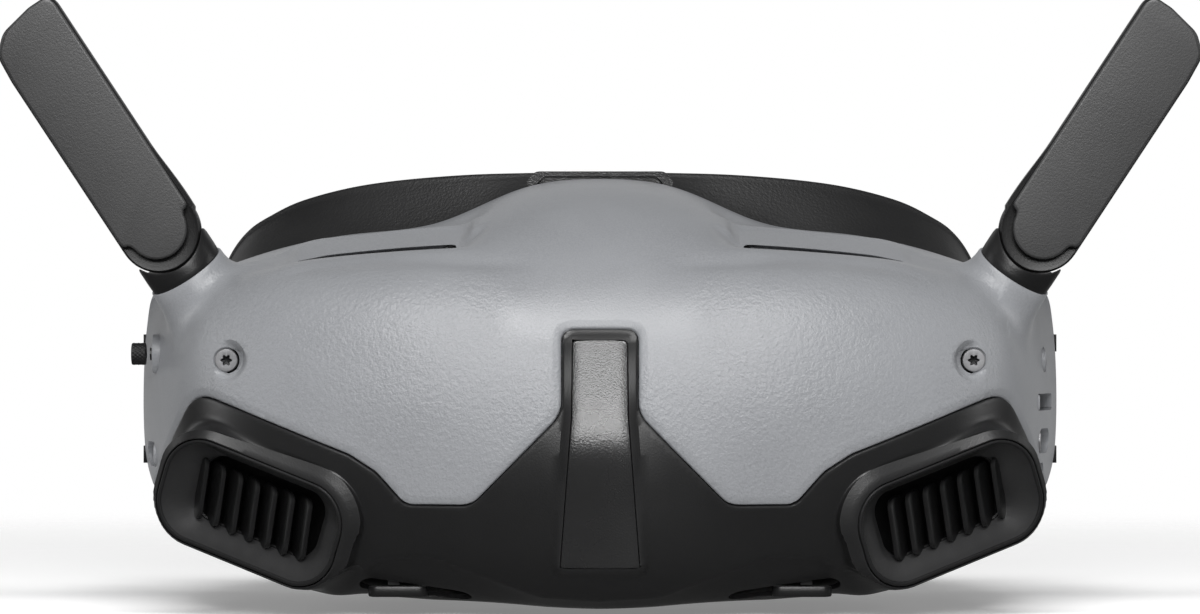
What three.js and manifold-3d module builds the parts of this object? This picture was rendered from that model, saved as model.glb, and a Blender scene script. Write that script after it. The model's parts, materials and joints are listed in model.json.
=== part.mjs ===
// FPV goggles: a two-piece front shell with two air intakes, a rear housing, a face pad on its frame, two folding
// antennas and two eyepieces that slide on rods for eye spacing.
// Millimetres, +Z up, the front faces -Y, and the origin is under the middle of the goggles' box.
import * as THREE from "three";
import { mergeVertices } from "three/addons/utils/BufferGeometryUtils.js";
import Module from "manifold-3d";

const wasm = await Module();
wasm.setup();

// ---------- driving dimensions ----------
const GAP = 0.3; // clearance between pieces that touch
const WALL = 2; // shell wall
const REAR_Y = 8; // the plane where the front shell ends and the rear housing begins
const FLANGE = 2; // thickness of the rear housing's flange and back plate
const BACK_PLATE_Y = 16; // front face of the back plate

const EYE_X = 34.4; // an eyepiece's axis at rest, from the middle
const EYE_Z = 36;
const BARREL_R = 15;
const BARREL_WALL = 1.8;
const EYE_FRONT_Y = -24;
const EYE_REAR_Y = 14;
const EYE_TRAVEL_IN = 6.4; // towards the nose
const EYE_TRAVEL_OUT = 1.6;
const ROD_R = 1.2;
const ROD_Y = -28;
const ROD_ZS = { upper: 54, lower: 18 };

const ANTENNA_TILT = 33.4; // degrees from upright, in the front view
const KNUCKLE = [75.2, -14, 65]; // centre of the fold hinge, right-hand antenna
const COLLAR_R = 6.7;
const COLLAR_FOOT = -8.3; // where the collar meets the shell's boss, along the antenna from the hinge
const PADDLE_HALF = 7;
const PADDLE_LENGTH = 44; // hinge to tip
const PADDLE_BACK = 3.4;
const PADDLE_FRONT = -2.8;
const COVER_THICK = 1.1;
const COVER_FOOT_R = 5; // half-round foot of the cover plate
const COVER_SHOULDER = 0.4; // where the plate's foot begins, above the hinge
const CUP_R = 7.35; // the collar's hollow round the paddle's end
const TONGUE_R = 2.4;
const PIN_R = 1;

const PAD_CENTRE_Y = 28; // where the forehead meets the pad
const PAD_CURVE = 0.0048; // how fast the pad sweeps back towards the temples, per mm
const PAD_THICK = 12;
const PAD_WIDTH = 8.5;
const PAD_NOSE_WIDTH = 4.5;

const STICK = [-73, -4, 44]; // pivot of the five-way joystick
const SCREW = [62.5, 43.2]; // a shell screw in the front view, right-hand side
const SCREW_HEAD_R = 1.95;
const SCREW_SHANK_R = 1;
const SCREW_SUNK = 1.7; // how far the head sits behind the shell's surface
const KNOB_HALF = 5; // half the width of an eye-spacing knob
const KNOB_Y = -35; // the knobs lie in the slope under the chin, ahead of the rods
const KNOB_Z = [3.1, 5.3];
const STRAP_PIN_X = 77.8;
const STRAP_PIN_Y = 14;
const STRAP_LUG_ZS = [24.8, 44.3]; // undersides of a strap anchor's two hinge lugs
const ORIGIN_SHIFT = [0, -0.281, -0.522]; // brings the middle of the bottom to the origin

// ---------- materials ----------
const paint = (color, roughness, metalness = 0) => new THREE.MeshStandardMaterial({ color, roughness, metalness });
const GREY_SHELL = paint(0x77787c, 0.55);
const BLACK_SHELL = paint(0x232324, 0.5);
const BLACK_PART = paint(0x161617, 0.45);
const PAD_FOAM = paint(0x1c1c1d, 0.9);
const PAD_SKIN = paint(0x28282a, 0.7);
const STEEL = paint(0x8f9093, 0.35, 0.9);
const GLASS = paint(0x30384a, 0.05);
const BOARD_GREEN = paint(0x14402c, 0.6);
const COPPER = paint(0x9a9da1, 0.4, 0.8);

// ---------- the shell's master surface ----------
// Control points [x, y, z] of the right half, from the middle to the side. Rows run from the bottom's rear edge,
// forward under the chin, up the front and back over the top to its rear edge.
const SHELL_NET = [
  [
    [0, REAR_Y, 3], [14, REAR_Y, 3], [28, REAR_Y, 3.5], [42, REAR_Y, 5],
    [56, REAR_Y, 8], [67, REAR_Y, 12], [74, REAR_Y, 16], [77.8, REAR_Y, 20],
  ],
  [
    [0, -14, 1], [14, -14, 1.6], [28, -14, 1.5], [42, -14, 2.5],
    [56, -13, 5.9], [67, -9, 11], [74.5, -4, 16], [78.5, REAR_Y, 22],
  ],
  [
    [0, -34, -1], [14, -34, 0], [28, -33, 1.4], [42, -32, 1.9],
    [56, -28, 5.6], [67, -20, 12], [74, -10, 18], [79.1, REAR_Y, 24],
  ],
  [
    [0, -48, 4], [14, -45.5, 4], [28, -43, 8], [42, -41, 8],
    [56, -36, 10], [67, -27, 15], [73.5, -14, 21], [79.6, REAR_Y, 27],
  ],
  [
    [0, -53, 14], [14, -49, 13], [28, -46, 15], [42, -44, 15],
    [56, -40, 16], [67, -31, 20], [73.4, -17, 26], [79.8, REAR_Y, 30],
  ],
  [
    [0, -53.5, 27], [14, -51, 25], [28, -49, 25], [42, -47, 25],
    [56, -42, 26], [67, -33, 29], [73.6, -18, 33], [79.95, REAR_Y, 35],
  ],
  [
    [0, -50, 40], [14, -50.5, 39], [28, -50.5, 38], [42, -48, 38],
    [56, -42.5, 38], [67, -33, 39], [73.6, -18, 40], [79.85, REAR_Y, 41],
  ],
  [
    [0, -45, 52], [14, -45.5, 51], [28, -46.5, 51], [42, -44.5, 51],
    [56, -39.5, 49], [67, -31, 48], [73.4, -17, 47], [79.6, REAR_Y, 46],
  ],
  [
    [0, -37, 61], [14, -37, 60.5], [28, -38, 60], [42, -36, 59.5],
    [56, -32, 57.5], [67, -24, 55], [73, -13, 52], [79.2, REAR_Y, 49.5],
  ],
  [
    [0, -24, 69.5], [14, -24, 68.5], [28, -22, 62.6], [42, -21, 61.4],
    [56, -18, 60.1], [66.5, -13, 58], [72.7, -6, 55], [78.9, REAR_Y, 52],
  ],
  [
    [0, -8, 73.6], [14, -8, 72.8], [28, -7, 64.5], [42, -6, 64],
    [56, -5, 62], [66, -3, 59], [72.5, 1, 56], [78.6, REAR_Y, 53.3],
  ],
  [
    [0, REAR_Y, 74.8], [14, REAR_Y, 74], [28, REAR_Y, 65.6], [42, REAR_Y, 65.4],
    [56, REAR_Y, 62.65], [66, REAR_Y, 59], [72.5, REAR_Y, 56.5], [78.3, REAR_Y, 54],
  ],
];

const mirrored = ([x, y, z]) => [-x, y, z];
const FULL_NET = SHELL_NET.map((row) => [...row.slice(1).reverse().map(mirrored), ...row]);

// Weights of the four control points round position t along n points of a uniform cubic B-spline that starts and
// ends on its first and last points.
function splineWeights(t, n) {
  const span = Math.min(Math.floor(t), n - 2);
  const f = t - span;
  const blend = [(1 - f) ** 3, 3 * f ** 3 - 6 * f ** 2 + 4, -3 * f ** 3 + 3 * f ** 2 + 3 * f + 1, f ** 3];
  const weights = new Map();
  const add = (i, w) => weights.set(i, (weights.get(i) ?? 0) + w);
  blend.forEach((b, k) => {
    const i = span - 1 + k;
    const w = b / 6;
    if (i < 0) {
      add(0, 2 * w);
      add(1, -w);
    } else if (i > n - 1) {
      add(n - 1, 2 * w);
      add(n - 2, -w);
    } else {
      add(i, w);
    }
  });
  return weights;
}

// A point of the master surface: u from -1 at the left rear edge to 1 at the right, v from 0 at the bottom's rear
// edge to 1 at the top's.
function shellPoint(u, v) {
  const across = splineWeights(((u + 1) / 2) * (FULL_NET[0].length - 1), FULL_NET[0].length);
  const up = splineWeights(v * (FULL_NET.length - 1), FULL_NET.length);
  const point = new THREE.Vector3();
  for (const [j, wj] of up)
    for (const [i, wi] of across) point.addScaledVector(new THREE.Vector3(...FULL_NET[j][i]), wi * wj);
  return point;
}

function shellNormal(u, v) {
  const e = 0.004;
  const du = shellPoint(Math.min(u + e, 1), v).sub(shellPoint(Math.max(u - e, -1), v));
  const dv = shellPoint(u, Math.min(v + e, 1)).sub(shellPoint(u, Math.max(v - e, 0)));
  return du.cross(dv).normalize();
}

// The y of the front surface at a place in the front view.
function frontY(x, z) {
  let best = [Infinity, 0];
  for (let u = -1; u <= 1; u += 0.01)
    for (let v = 0.2; v <= 0.95; v += 0.01) {
      const p = shellPoint(u, v);
      const d = (p.x - x) ** 2 + (p.z - z) ** 2;
      if (d < best[0]) best = [d, p.y];
    }
  return best[1];
}

// ---------- helpers ----------
function indexed(positions, triangles) {
  const geometry = new THREE.BufferGeometry();
  geometry.setAttribute("position", new THREE.Float32BufferAttribute(positions, 3));
  geometry.setIndex(triangles);
  return geometry;
}

function solid(geometry) {
  const bare = geometry.clone();
  bare.deleteAttribute("normal");
  bare.deleteAttribute("uv");
  const merged = mergeVertices(bare, 1e-4);
  return new wasm.Manifold(
    new wasm.Mesh({
      numProp: 3,
      vertProperties: new Float32Array(merged.attributes.position.array),
      triVerts: new Uint32Array(merged.index.array),
    }),
  );
}

function geometryOf(manifold) {
  const mesh = manifold.getMesh();
  const positions = [];
  for (let i = 0; i < mesh.numVert; i++) {
    const start = i * mesh.numProp;
    positions.push(...mesh.vertProperties.slice(start, start + 3));
  }
  return indexed(positions, [...mesh.triVerts]);
}

const moved = (geometry, x, y, z) => geometry.translate(x, y, z);
const box = (x0, x1, y0, y1, z0, z1) =>
  solid(moved(new THREE.BoxGeometry(x1 - x0, y1 - y0, z1 - z0), (x0 + x1) / 2, (y0 + y1) / 2, (z0 + z1) / 2));

const shapeOf = (points) => new THREE.Shape(points.map(([a, b]) => new THREE.Vector2(a, b)));

const extruded = (points, depth) => new THREE.ExtrudeGeometry(shapeOf(points), { depth, bevelEnabled: false });

// A solid from a front-view outline of [x, z] points, between two depths.
const prismY = (points, y0, y1) => solid(moved(extruded(points, y1 - y0).rotateX(Math.PI / 2), 0, y1, 0));

// A solid from a side-view outline of [y, z] points, between two x positions.
const X_UP = new THREE.Matrix4().makeBasis(
  new THREE.Vector3(0, 1, 0),
  new THREE.Vector3(0, 0, 1),
  new THREE.Vector3(1, 0, 0),
);
const prismX = (points, x0, x1) => solid(moved(extruded(points, x1 - x0).applyMatrix4(X_UP), x0, 0, 0));

// A solid from a plan outline of [x, y] points, between two heights.
const prismZ = (points, z0, z1) => solid(moved(extruded(points, z1 - z0), 0, 0, z0));

const rodY = (r, y0, y1, x, z, sides = 24) =>
  solid(moved(new THREE.CylinderGeometry(r, r, y1 - y0, sides), x, (y0 + y1) / 2, z));
const rodX = (r, x0, x1, y, z, sides = 20) =>
  solid(moved(new THREE.CylinderGeometry(r, r, x1 - x0, sides).rotateZ(-Math.PI / 2), (x0 + x1) / 2, y, z));
const rodZ = (r, z0, z1, x, y, sides = 20) =>
  solid(moved(new THREE.CylinderGeometry(r, r, z1 - z0, sides).rotateX(Math.PI / 2), x, y, (z0 + z1) / 2));

// A solid of revolution about Y from [radius, y] points that start and end on the axis.
function turned(profile, x, z, sides = 28) {
  const points = profile.map(([r, y]) => new THREE.Vector2(r, y));
  return solid(moved(new THREE.LatheGeometry(points, sides), x, 0, z));
}

// Rectangle with round corners, as points.
function roundRect(x0, x1, z0, z1, r, steps = 4) {
  const points = [];
  const corners = [[x1 - r, z1 - r, 0], [x0 + r, z1 - r, 90], [x0 + r, z0 + r, 180], [x1 - r, z0 + r, 270]];
  for (const [cx, cz, from] of corners)
    for (let k = 0; k <= steps; k++) {
      const a = ((from + (90 * k) / steps) * Math.PI) / 180;
      points.push([cx + r * Math.cos(a), cz + r * Math.sin(a)]);
    }
  return points;
}

// A closed outline from its right half, listed from the middle of the top down to the middle of the bottom.
const bothHalves = (half) => [...half, ...half.slice(1, -1).reverse().map(([x, z]) => [-x, z])];

// The outline moved outwards by d; its points run clockwise as bothHalves gives them.
function grown(outline, d) {
  const n = outline.length;
  return outline.map(([x, z], i) => {
    const [ax, az] = outline[(i + n - 1) % n];
    const [bx, bz] = outline[(i + 1) % n];
    const length = Math.hypot(bx - ax, bz - az);
    return [x - ((bz - az) / length) * d, z + ((bx - ax) / length) * d];
  });
}

const root = new THREE.Group();
function add(name, geometry, material, parent = root) {
  const mesh = new THREE.Mesh(geometry.isBufferGeometry ? geometry : geometryOf(geometry), material);
  mesh.name = name;
  parent.add(mesh);
  return mesh;
}
const SIDES = [["left", -1], ["right", 1]];

// ---------- front shell ----------
// The part of the master surface between two depths under it, as a closed shell.
function shellSolid(outer, inner, columns = 24, rows = 16) {
  const positions = [];
  const triangles = [];
  const at = (layer, i, j) => (layer * (rows + 1) + j) * (columns + 1) + i;
  for (const depth of [outer, inner])
    for (let j = 0; j <= rows; j++)
      for (let i = 0; i <= columns; i++) {
        const u = (2 * i) / columns - 1;
        const v = j / rows;
        const p = shellPoint(u, v).addScaledVector(shellNormal(u, v), -depth);
        positions.push(p.x, Math.min(p.y, REAR_Y - depth * 1e-3), p.z);
      }
  const quad = (a, b, c, d) => triangles.push(a, b, c, a, c, d);
  for (let j = 0; j < rows; j++)
    for (let i = 0; i < columns; i++) {
      quad(at(0, i, j), at(0, i + 1, j), at(0, i + 1, j + 1), at(0, i, j + 1));
      quad(at(1, i, j), at(1, i, j + 1), at(1, i + 1, j + 1), at(1, i + 1, j));
    }
  for (let i = 0; i < columns; i++) {
    quad(at(0, i, 0), at(1, i, 0), at(1, i + 1, 0), at(0, i + 1, 0));
    quad(at(0, i, rows), at(0, i + 1, rows), at(1, i + 1, rows), at(1, i, rows));
  }
  for (let j = 0; j < rows; j++) {
    quad(at(0, 0, j), at(0, 0, j + 1), at(1, 0, j + 1), at(1, 0, j));
    quad(at(0, columns, j), at(1, columns, j), at(1, columns, j + 1), at(0, columns, j + 1));
  }
  return solid(indexed(positions, triangles));
}

// The seam between the grey shell and the black lower cover, in the front view, right half.
const SEAM = [
  [0, 48.6], [4.8, 48.6], [6.3, 47.1], [6.3, 37], [6.9, 34.8], [8.4, 32.6], [18.3, 22.5], [20.3, 20.7], [22.6, 19.7],
  [24.6, 19.4], [30.8, 19.4], [32.9, 20.1], [34.3, 21.5], [36, 23.6], [38.2, 25.6], [42, 27.9], [60, 34.9],
  [65.2, 36.6],
  [69, 36.2], [72, 31.6], [75, 26], [81, 12],
];
const coverRegion = (shift) => {
  const seam = SEAM.map(([x, z]) => [x, z + shift]);
  return [...seam, [81, -10], [-81, -10], ...seam.slice(1).reverse().map(([x, z]) => [-x, z])];
};

const STRIP = bothHalves([[0, 46.8], [4.7, 46.8], [4.8, 35], [5.5, 28.5], [6.4, 14], [6.4, 9.6], [0, 9.6]]);
const NOSE = bothHalves([[0, 32.5], [6, 30.5], [10.5, 25], [14.5, 18], [19, 11], [25, 5.5], [29, -4], [0, -4]]);
const NOSE_FRONT_Y = -8;

// The air intakes: each has its own frame, turned outwards and a little down, with the long axis sloping to the nose.
const INTAKE = { centre: [57.2, -38.5, 18.4], turn: 22, nod: 6, slope: 20 };
const INTAKE_OUTLINE = roundRect(-17.2, 16.6, -9.4, 8.6, 7, 5);
const INTAKE_MOUTH = roundRect(-15.6, 15.2, -7.8, 7.1, 5.6, 5);
const INTAKE_THROAT = roundRect(-12.4, 10.4, -5.9, 5.3, 3.4, 4);
const INTAKE_DEPTH = 9; // mouth to the fins' back frame
const FINS = 7;
const FIN_YAW = 0.45;
const FIN_LEAN = -0.14;

function intakeMatrix(side) {
  const rad = THREE.MathUtils.degToRad;
  const [x, y, z] = INTAKE.centre;
  const matrix = new THREE.Matrix4().makeTranslation(side * x, y, z);
  matrix.multiply(new THREE.Matrix4().makeRotationZ(side * rad(INTAKE.turn)));
  matrix.multiply(new THREE.Matrix4().makeRotationX(rad(INTAKE.nod)));
  return matrix.multiply(new THREE.Matrix4().makeRotationY(side * -rad(INTAKE.slope)));
}

// Outlines in an intake's frame have the outer end at negative a on the left side, so the right one is mirrored.
const intakeOutline = (points, side) => (side < 0 ? points : points.map(([a, b]) => [-a, b]).reverse());
const placed = (manifold, matrix) => solid(geometryOf(manifold).applyMatrix4(matrix));

// A shape turned about the antenna's own axis, from [radius, distance from the hinge] points.
function antennaTurned(profile, side, sides = 24) {
  const points = profile.map(([r, h]) => new THREE.Vector2(r, h));
  const geometry = new THREE.LatheGeometry(points, sides).rotateX(Math.PI / 2);
  geometry.rotateY(side * THREE.MathUtils.degToRad(ANTENNA_TILT));
  return solid(moved(geometry, side * KNUCKLE[0], KNUCKLE[1], KNUCKLE[2]));
}

const VENT = { x: 38, half: 12.5, front: -26, rear: -20, round: 2 };
const ventPrism = (side, extra, z0, z1) => {
  const middle = side * VENT.x;
  const reach = VENT.half + extra;
  const outline = roundRect(middle - reach, middle + reach, VENT.front - extra, VENT.rear + extra, VENT.round);
  return prismZ(outline, z0, z1);
};

const screwY = frontY(...SCREW);
const BACK_BUTTON = roundRect(-3, 5, 24.6, 28.6, 1.9);
const PORTS = {
  usb_c_port: roundRect(-8.6, 0.6, 27, 31, 1.9),
  audio_jack: roundRect(-6.6, -1.4, 19.9, 25.1, 2.55),
  card_slot: roundRect(-10.5, 2.5, 34.4, 37, 0.6),
  link_button: roundRect(-6, -2, 41, 45, 1.95),
};

// [radius, distance from the hinge] points of the raised seat for an antenna's collar, and of its socket.
const BOSS_PROFILE = [
  [0, -19], [8, -19], [11.5, -15], [9.4, -12.5], [7.8, -10.4], [7.1, COLLAR_FOOT], [0, COLLAR_FOOT],
];
const SOCKET_PROFILE = [[0, -13], [5, -13], [5, -5], [0, -5]];

function frontShell() {
  let shell = shellSolid(0, WALL);
  for (const [, side] of SIDES) {
    shell = shell.add(antennaTurned(BOSS_PROFILE, side)).subtract(antennaTurned(SOCKET_PROFILE, side));
    const screwRod = (r, y0, y1, sides) => rodY(r, screwY + y0, screwY + y1, side * SCREW[0], SCREW[1], sides);
    shell = shell.add(screwRod(3.6, 2, 9, 16));
    shell = shell.subtract(screwRod(SCREW_HEAD_R + GAP, -12, SCREW_SUNK + 1.5, 20));
    shell = shell.subtract(screwRod(SCREW_SHANK_R + GAP, 0, 12, 12));
    shell = shell.subtract(ventPrism(side, 0, 50, 80));
  }
  shell = shell.subtract(rodX(3.7, -90, -68, STICK[1], STICK[2]));
  shell = shell.subtract(prismX(grownRect(BACK_BUTTON), -90, -68));
  for (const outline of Object.values(PORTS)) shell = shell.subtract(prismX(grownRect(outline), 68, 90));
  return shell;
}

// roundRect outlines run counter-clockwise, the other way from bothHalves.
function grownRect(outline) {
  return grown([...outline].reverse(), GAP).reverse();
}

const whole = frontShell();
const cover = coverRegion(-GAP / 2);
add("front_shell", largestPiece(whole.subtract(prismY(coverRegion(GAP / 2), -80, 40))), GREY_SHELL);

function largestPiece(manifold) {
  return manifold.decompose().sort((a, b) => b.volume() - a.volume())[0];
}

// The inner and outer ends of what an eyepiece sweeps, for something that reaches that far from its axis.
const eyeReach = (side, half) => [
  side * (EYE_X - EYE_TRAVEL_IN - half),
  side * (EYE_X + EYE_TRAVEL_OUT + half),
];

function lowerCover() {
  let part = whole.intersect(prismY(cover, -80, 40));
  for (const [, side] of SIDES) {
    const frame = intakeMatrix(side);
    const tube = prismY(intakeOutline(grownRect(INTAKE_OUTLINE), side), -1.5, INTAKE_DEPTH);
    const bore = prismY(intakeOutline(INTAKE_OUTLINE, side), -20, 40);
    const reach = prismY(intakeOutline(grown([...INTAKE_OUTLINE].reverse(), 2).reverse(), side), -1.5, 7);
    part = part.add(placed(reach.add(tube), frame)).subtract(placed(bore, frame));
    const [inner, outer] = eyeReach(side, KNOB_HALF + 0.8);
    const knobSlot = roundRect(Math.min(inner, outer), Math.max(inner, outer), KNOB_Y - 2.6, KNOB_Y + 2.6, 2.2);
    part = part.subtract(prismZ(knobSlot, -3, 9));
  }
  part = part.subtract(prismY(grown(STRIP, GAP), -70, -40));
  part = part.subtract(prismY(grown(NOSE, 2 + GAP), NOSE_FRONT_Y - 2 - GAP, 40));
  return largestPiece(part);
}
add("lower_front_cover", lowerCover(), BLACK_SHELL);
const stripSlab = shellSolid(1, WALL + 0.4);
add("nose_strip", largestPiece(stripSlab.intersect(prismY(STRIP, -70, -40))), BLACK_SHELL);

// ---------- air intakes ----------
function intakeBezel(side) {
  const inner = intakeOutline(INTAKE_MOUTH, side);
  const outer = intakeOutline(grown([...INTAKE_OUTLINE].reverse(), -GAP).reverse(), side);
  const ring = prismY(outer, -2.2, 4).subtract(prismY(inner, -5, 10));
  return placed(ring, intakeMatrix(side));
}

// Seven upright fins on a frame at the bottom of the duct.
function intakeGrille(side) {
  const outer = intakeOutline(grown([...INTAKE_OUTLINE].reverse(), -GAP).reverse(), side);
  const throat = prismY(intakeOutline(INTAKE_THROAT, side), -5, 30);
  let grille = prismY(outer, 4 + GAP, INTAKE_DEPTH).subtract(throat);
  for (let k = 0; k < FINS; k++) {
    const a = -11.2 + (k * 19.4) / (FINS - 1);
    const blade = new THREE.BoxGeometry(0.9, 4.8, 12.4).rotateZ(FIN_YAW).rotateY(FIN_LEAN);
    const fin = solid(blade.translate(a, 6.8, -0.3));
    grille = grille.add(side < 0 ? fin : fin.mirror([1, 0, 0]));
  }
  return placed(grille, intakeMatrix(side));
}

for (const [name, side] of SIDES) {
  add(`intake_bezel_${name}`, intakeBezel(side), BLACK_SHELL);
  add(`intake_grille_${name}`, intakeGrille(side), BLACK_PART);
  add(`exhaust_mesh_${name}`, ventPrism(side, -GAP, 58.2, 59.2), BLACK_PART);
}

// ---------- shell screws ----------
function shellScrew() {
  const r = SCREW_SHANK_R;
  const headR = SCREW_HEAD_R;
  const profile = [[0, 0], [headR - 0.2, 0], [headR, 0.2], [headR, 1.2], [r, 1.2], [r, 7], [0, 7]];
  const head = turned(profile, 0, 0, 20);
  const star = [];
  for (let k = 0; k < 12; k++) {
    const a = (k * Math.PI) / 6;
    const reach = k % 2 ? 0.62 : 0.95;
    star.push([reach * Math.cos(a), reach * Math.sin(a)]);
  }
  return head.subtract(prismY(star, -1, 0.7));
}
for (const [name, side] of SIDES) {
  const screw = geometryOf(shellScrew()).translate(side * SCREW[0], screwY + SCREW_SUNK, SCREW[1]);
  add(`shell_screw_${name}`, screw, STEEL);
}

// ---------- rear housing ----------
// The rear edge of the front shell as an outline, moved in a little.
function rearEdge(inset) {
  const points = [];
  const steps = 22;
  for (let i = 0; i <= steps; i++) points.push(shellPoint(1 - (2 * i) / steps, 1));
  for (let j = 7; j >= 1; j--) points.push(shellPoint(-1, j / 8));
  for (let i = 0; i <= steps; i++) points.push(shellPoint((2 * i) / steps - 1, 0));
  for (let j = 1; j <= 7; j++) points.push(shellPoint(1, j / 8));
  return grown(points.map((p) => [p.x, p.z]).reverse(), -inset);
}
const TUBE = bothHalves([
  [0, 63.5], [20, 62.8], [35, 60.5], [46, 57.5], [54, 52.5], [58.5, 45], [59.5, 36], [58, 27], [53, 18], [45, 12.5],
  [35, 10.5], [27, 12], [21.5, 19], [17, 27], [12.4, 33.6], [7, 37.4], [0, 38.4],
]);

function rearHousing() {
  let housing = prismY(rearEdge(0.5), REAR_Y + GAP, REAR_Y + GAP + FLANGE);
  housing = housing.add(prismY(TUBE, REAR_Y + 1, BACK_PLATE_Y + FLANGE));
  housing = housing.subtract(prismY(grown(TUBE, -1.8), 0, BACK_PLATE_Y));
  housing = housing.add(prismY(grown(NOSE, 2), NOSE_FRONT_Y - 2, REAR_Y + GAP + FLANGE));
  housing = housing.subtract(prismY(NOSE, NOSE_FRONT_Y, 40));
  housing = housing.subtract(box(-60, 60, -40, 60, -10, 0.9));
  for (const [, side] of SIDES) {
    const r = BARREL_R + 0.6;
    const [inner, outer] = eyeReach(side, r);
    const window = roundRect(Math.min(inner, outer), Math.max(inner, outer), EYE_Z - r, EYE_Z + r, r - 0.1, 8);
    housing = housing.subtract(prismY(window, 0, 40));
    for (const z of STRAP_LUG_ZS) {
      const lug = [side * (STRAP_PIN_X - 3.8), side * (STRAP_PIN_X + 2.2)];
      housing = housing.add(box(Math.min(...lug), Math.max(...lug), REAR_Y + 1, STRAP_PIN_Y + 2.6, z, z + 3));
      housing = housing.subtract(rodZ(PIN_R + GAP, z - 1, z + 4, side * STRAP_PIN_X, STRAP_PIN_Y));
    }
  }
  return largestPiece(housing);
}
add("rear_housing", rearHousing(), BLACK_PART);

// ---------- face pad and its frame ----------
const padY = (x) => PAD_CENTRE_Y + PAD_CURVE * x * x;
const PAD_LOOP = [
  [0, 75.8], [13, 75.7], [24, 75.4], [36, 74.5], [45, 73.2], [53.5, 71], [59, 68.5], [63, 66], [66.2, 62.2],
  [68.5, 57], [70.5, 48], [71, 38], [70, 28], [66, 17], [58, 9], [46, 4.6], [34, 3.6], [25, 5.5], [19, 11],
  [14.5, 18], [10.5, 25], [6, 30.5], [0, 32.5],
];
const FRAME_LOOP = [
  [0, 72.6], [12, 72], [22, 68], [33, 64], [42, 62], [51, 60.5], [58, 59], [63, 57.5], [66.6, 54.6], [69, 51],
  [69.4, 45], [69.4, 37], [69, 29], [65, 19], [56, 11.4], [44, 8], [33, 6.6], [24, 8], [18.6, 13], [14.5, 18.6],
  [10.5, 25], [6, 30.5], [0, 32.5],
];
// Width of the pad at each point of the loop's half: narrow round the nose.
const padWidth = (i) => PAD_NOSE_WIDTH + ((PAD_WIDTH - PAD_NOSE_WIDTH) * THREE.MathUtils.clamp(19 - i, 0, 4)) / 4;

// A ring swept along a closed loop: section(k, outer, inwards) gives the corners at each point of the loop.
function ring(loop, section) {
  const closed = bothHalves(loop);
  const n = closed.length;
  const half = loop.length - 1;
  const sections = closed.map((point, i) => {
    const [ax, az] = closed[(i + n - 1) % n];
    const [bx, bz] = closed[(i + 1) % n];
    const length = Math.hypot(bx - ax, bz - az);
    const inwards = [(bz - az) / length, -(bx - ax) / length];
    return section(i <= half ? i : n - i, point, inwards, i);
  });
  const m = sections[0].length;
  const triangles = [];
  for (let i = 0; i < n; i++)
    for (let k = 0; k < m; k++) {
      const a = i * m + k;
      const b = i * m + ((k + 1) % m);
      const c = ((i + 1) % n) * m + ((k + 1) % m);
      const d = ((i + 1) % n) * m + k;
      triangles.push(a, d, c, a, c, b);
    }
  const made = solid(indexed(sections.flat(2), triangles));
  return made.volume() < 0 ? solid(indexed(sections.flat(2), triangles.reverse())) : made;
}

const SKIRT_LIP = 1.8;
const SKIRT_THICK = 2.4;
const inset = ([x, z], [dx, dz], d, y) => [x + dx * d, y, z + dz * d];
add(
  "face_pad",
  ring(PAD_LOOP, (k, p, inwards) => {
    const back = padY(p[0]);
    const w = padWidth(k);
    const front = back - PAD_THICK + 1.2;
    return [
      inset(p, inwards, 0.4, front),
      inset(p, inwards, 0, back - 3.5),
      inset(p, inwards, w * 0.22, back - 0.6),
      inset(p, inwards, w * 0.5, back),
      inset(p, inwards, w * 0.8, back - 0.9),
      inset(p, inwards, w, back - 4),
      inset(p, inwards, w - 0.4, front),
    ];
  }),
  PAD_FOAM,
);
const frameClosed = bothHalves(FRAME_LOOP);
add(
  "face_pad_frame",
  ring(PAD_LOOP, (k, p, inwards, i) => {
    const w = padWidth(k);
    const back = padY(p[0]) - PAD_THICK;
    const foot = frameClosed[i];
    const start = REAR_Y + FLANGE + 2 * GAP;
    return [
      inset(foot, inwards, 0, start),
      inset(p, inwards, 0, back),
      inset(p, inwards, w, back),
      inset(p, inwards, w, back - SKIRT_LIP),
      inset(p, inwards, SKIRT_THICK, back - SKIRT_LIP),
      inset(foot, inwards, SKIRT_THICK, start),
    ];
  }),
  PAD_SKIN,
);
add("forehead_clip", box(-13, 13, REAR_Y + GAP, REAR_Y + FLANGE + GAP - 0.1, 74.3, 75.6), BLACK_PART);

// ---------- eyepieces ----------
function carrier(side) {
  const x = side * EYE_X;
  let body = rodY(BARREL_R, EYE_FRONT_Y, EYE_REAR_Y, x, EYE_Z, 28);
  body = body.add(box(x - 11, x + 11, -32, EYE_FRONT_Y + 1, EYE_Z - 12, EYE_Z + 12));
  body = body.add(box(x - 5, x + 5, ROD_Y - 3, ROD_Y + 3, ROD_ZS.lower - 2.6, ROD_ZS.upper + 2.6));
  body = body.add(box(x - 1, x + 1, ROD_Y - 1.4, ROD_Y + 1.4, KNOB_Z[1] + 0.4, ROD_ZS.lower));
  body = body.add(box(x - 1, x + 1, KNOB_Y - 1.2, ROD_Y, KNOB_Z[1] + 0.4, KNOB_Z[1] + 1.9));
  body = body.subtract(rodY(BARREL_R - BARREL_WALL, EYE_FRONT_Y + 0.5, EYE_REAR_Y + 1, x, EYE_Z, 28));
  body = body.subtract(box(x - 8, x + 8, -30.2, EYE_FRONT_Y + 2, EYE_Z - 7, EYE_Z + 7));
  body = body.subtract(box(x - 7.3, x + 7.3, -33, -29, EYE_Z - 6.3, EYE_Z + 6.3));
  for (const z of Object.values(ROD_ZS)) body = body.subtract(rodX(ROD_R + GAP, x - 9, x + 9, ROD_Y, z, 16));
  return body;
}
const lensProfile = (r) => [
  [0, 9.2], [r * 0.5, 9.6], [r, 10.8], [r, 12], [r * 0.7, 13], [r * 0.35, 13.6], [0, 13.8],
];
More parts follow.
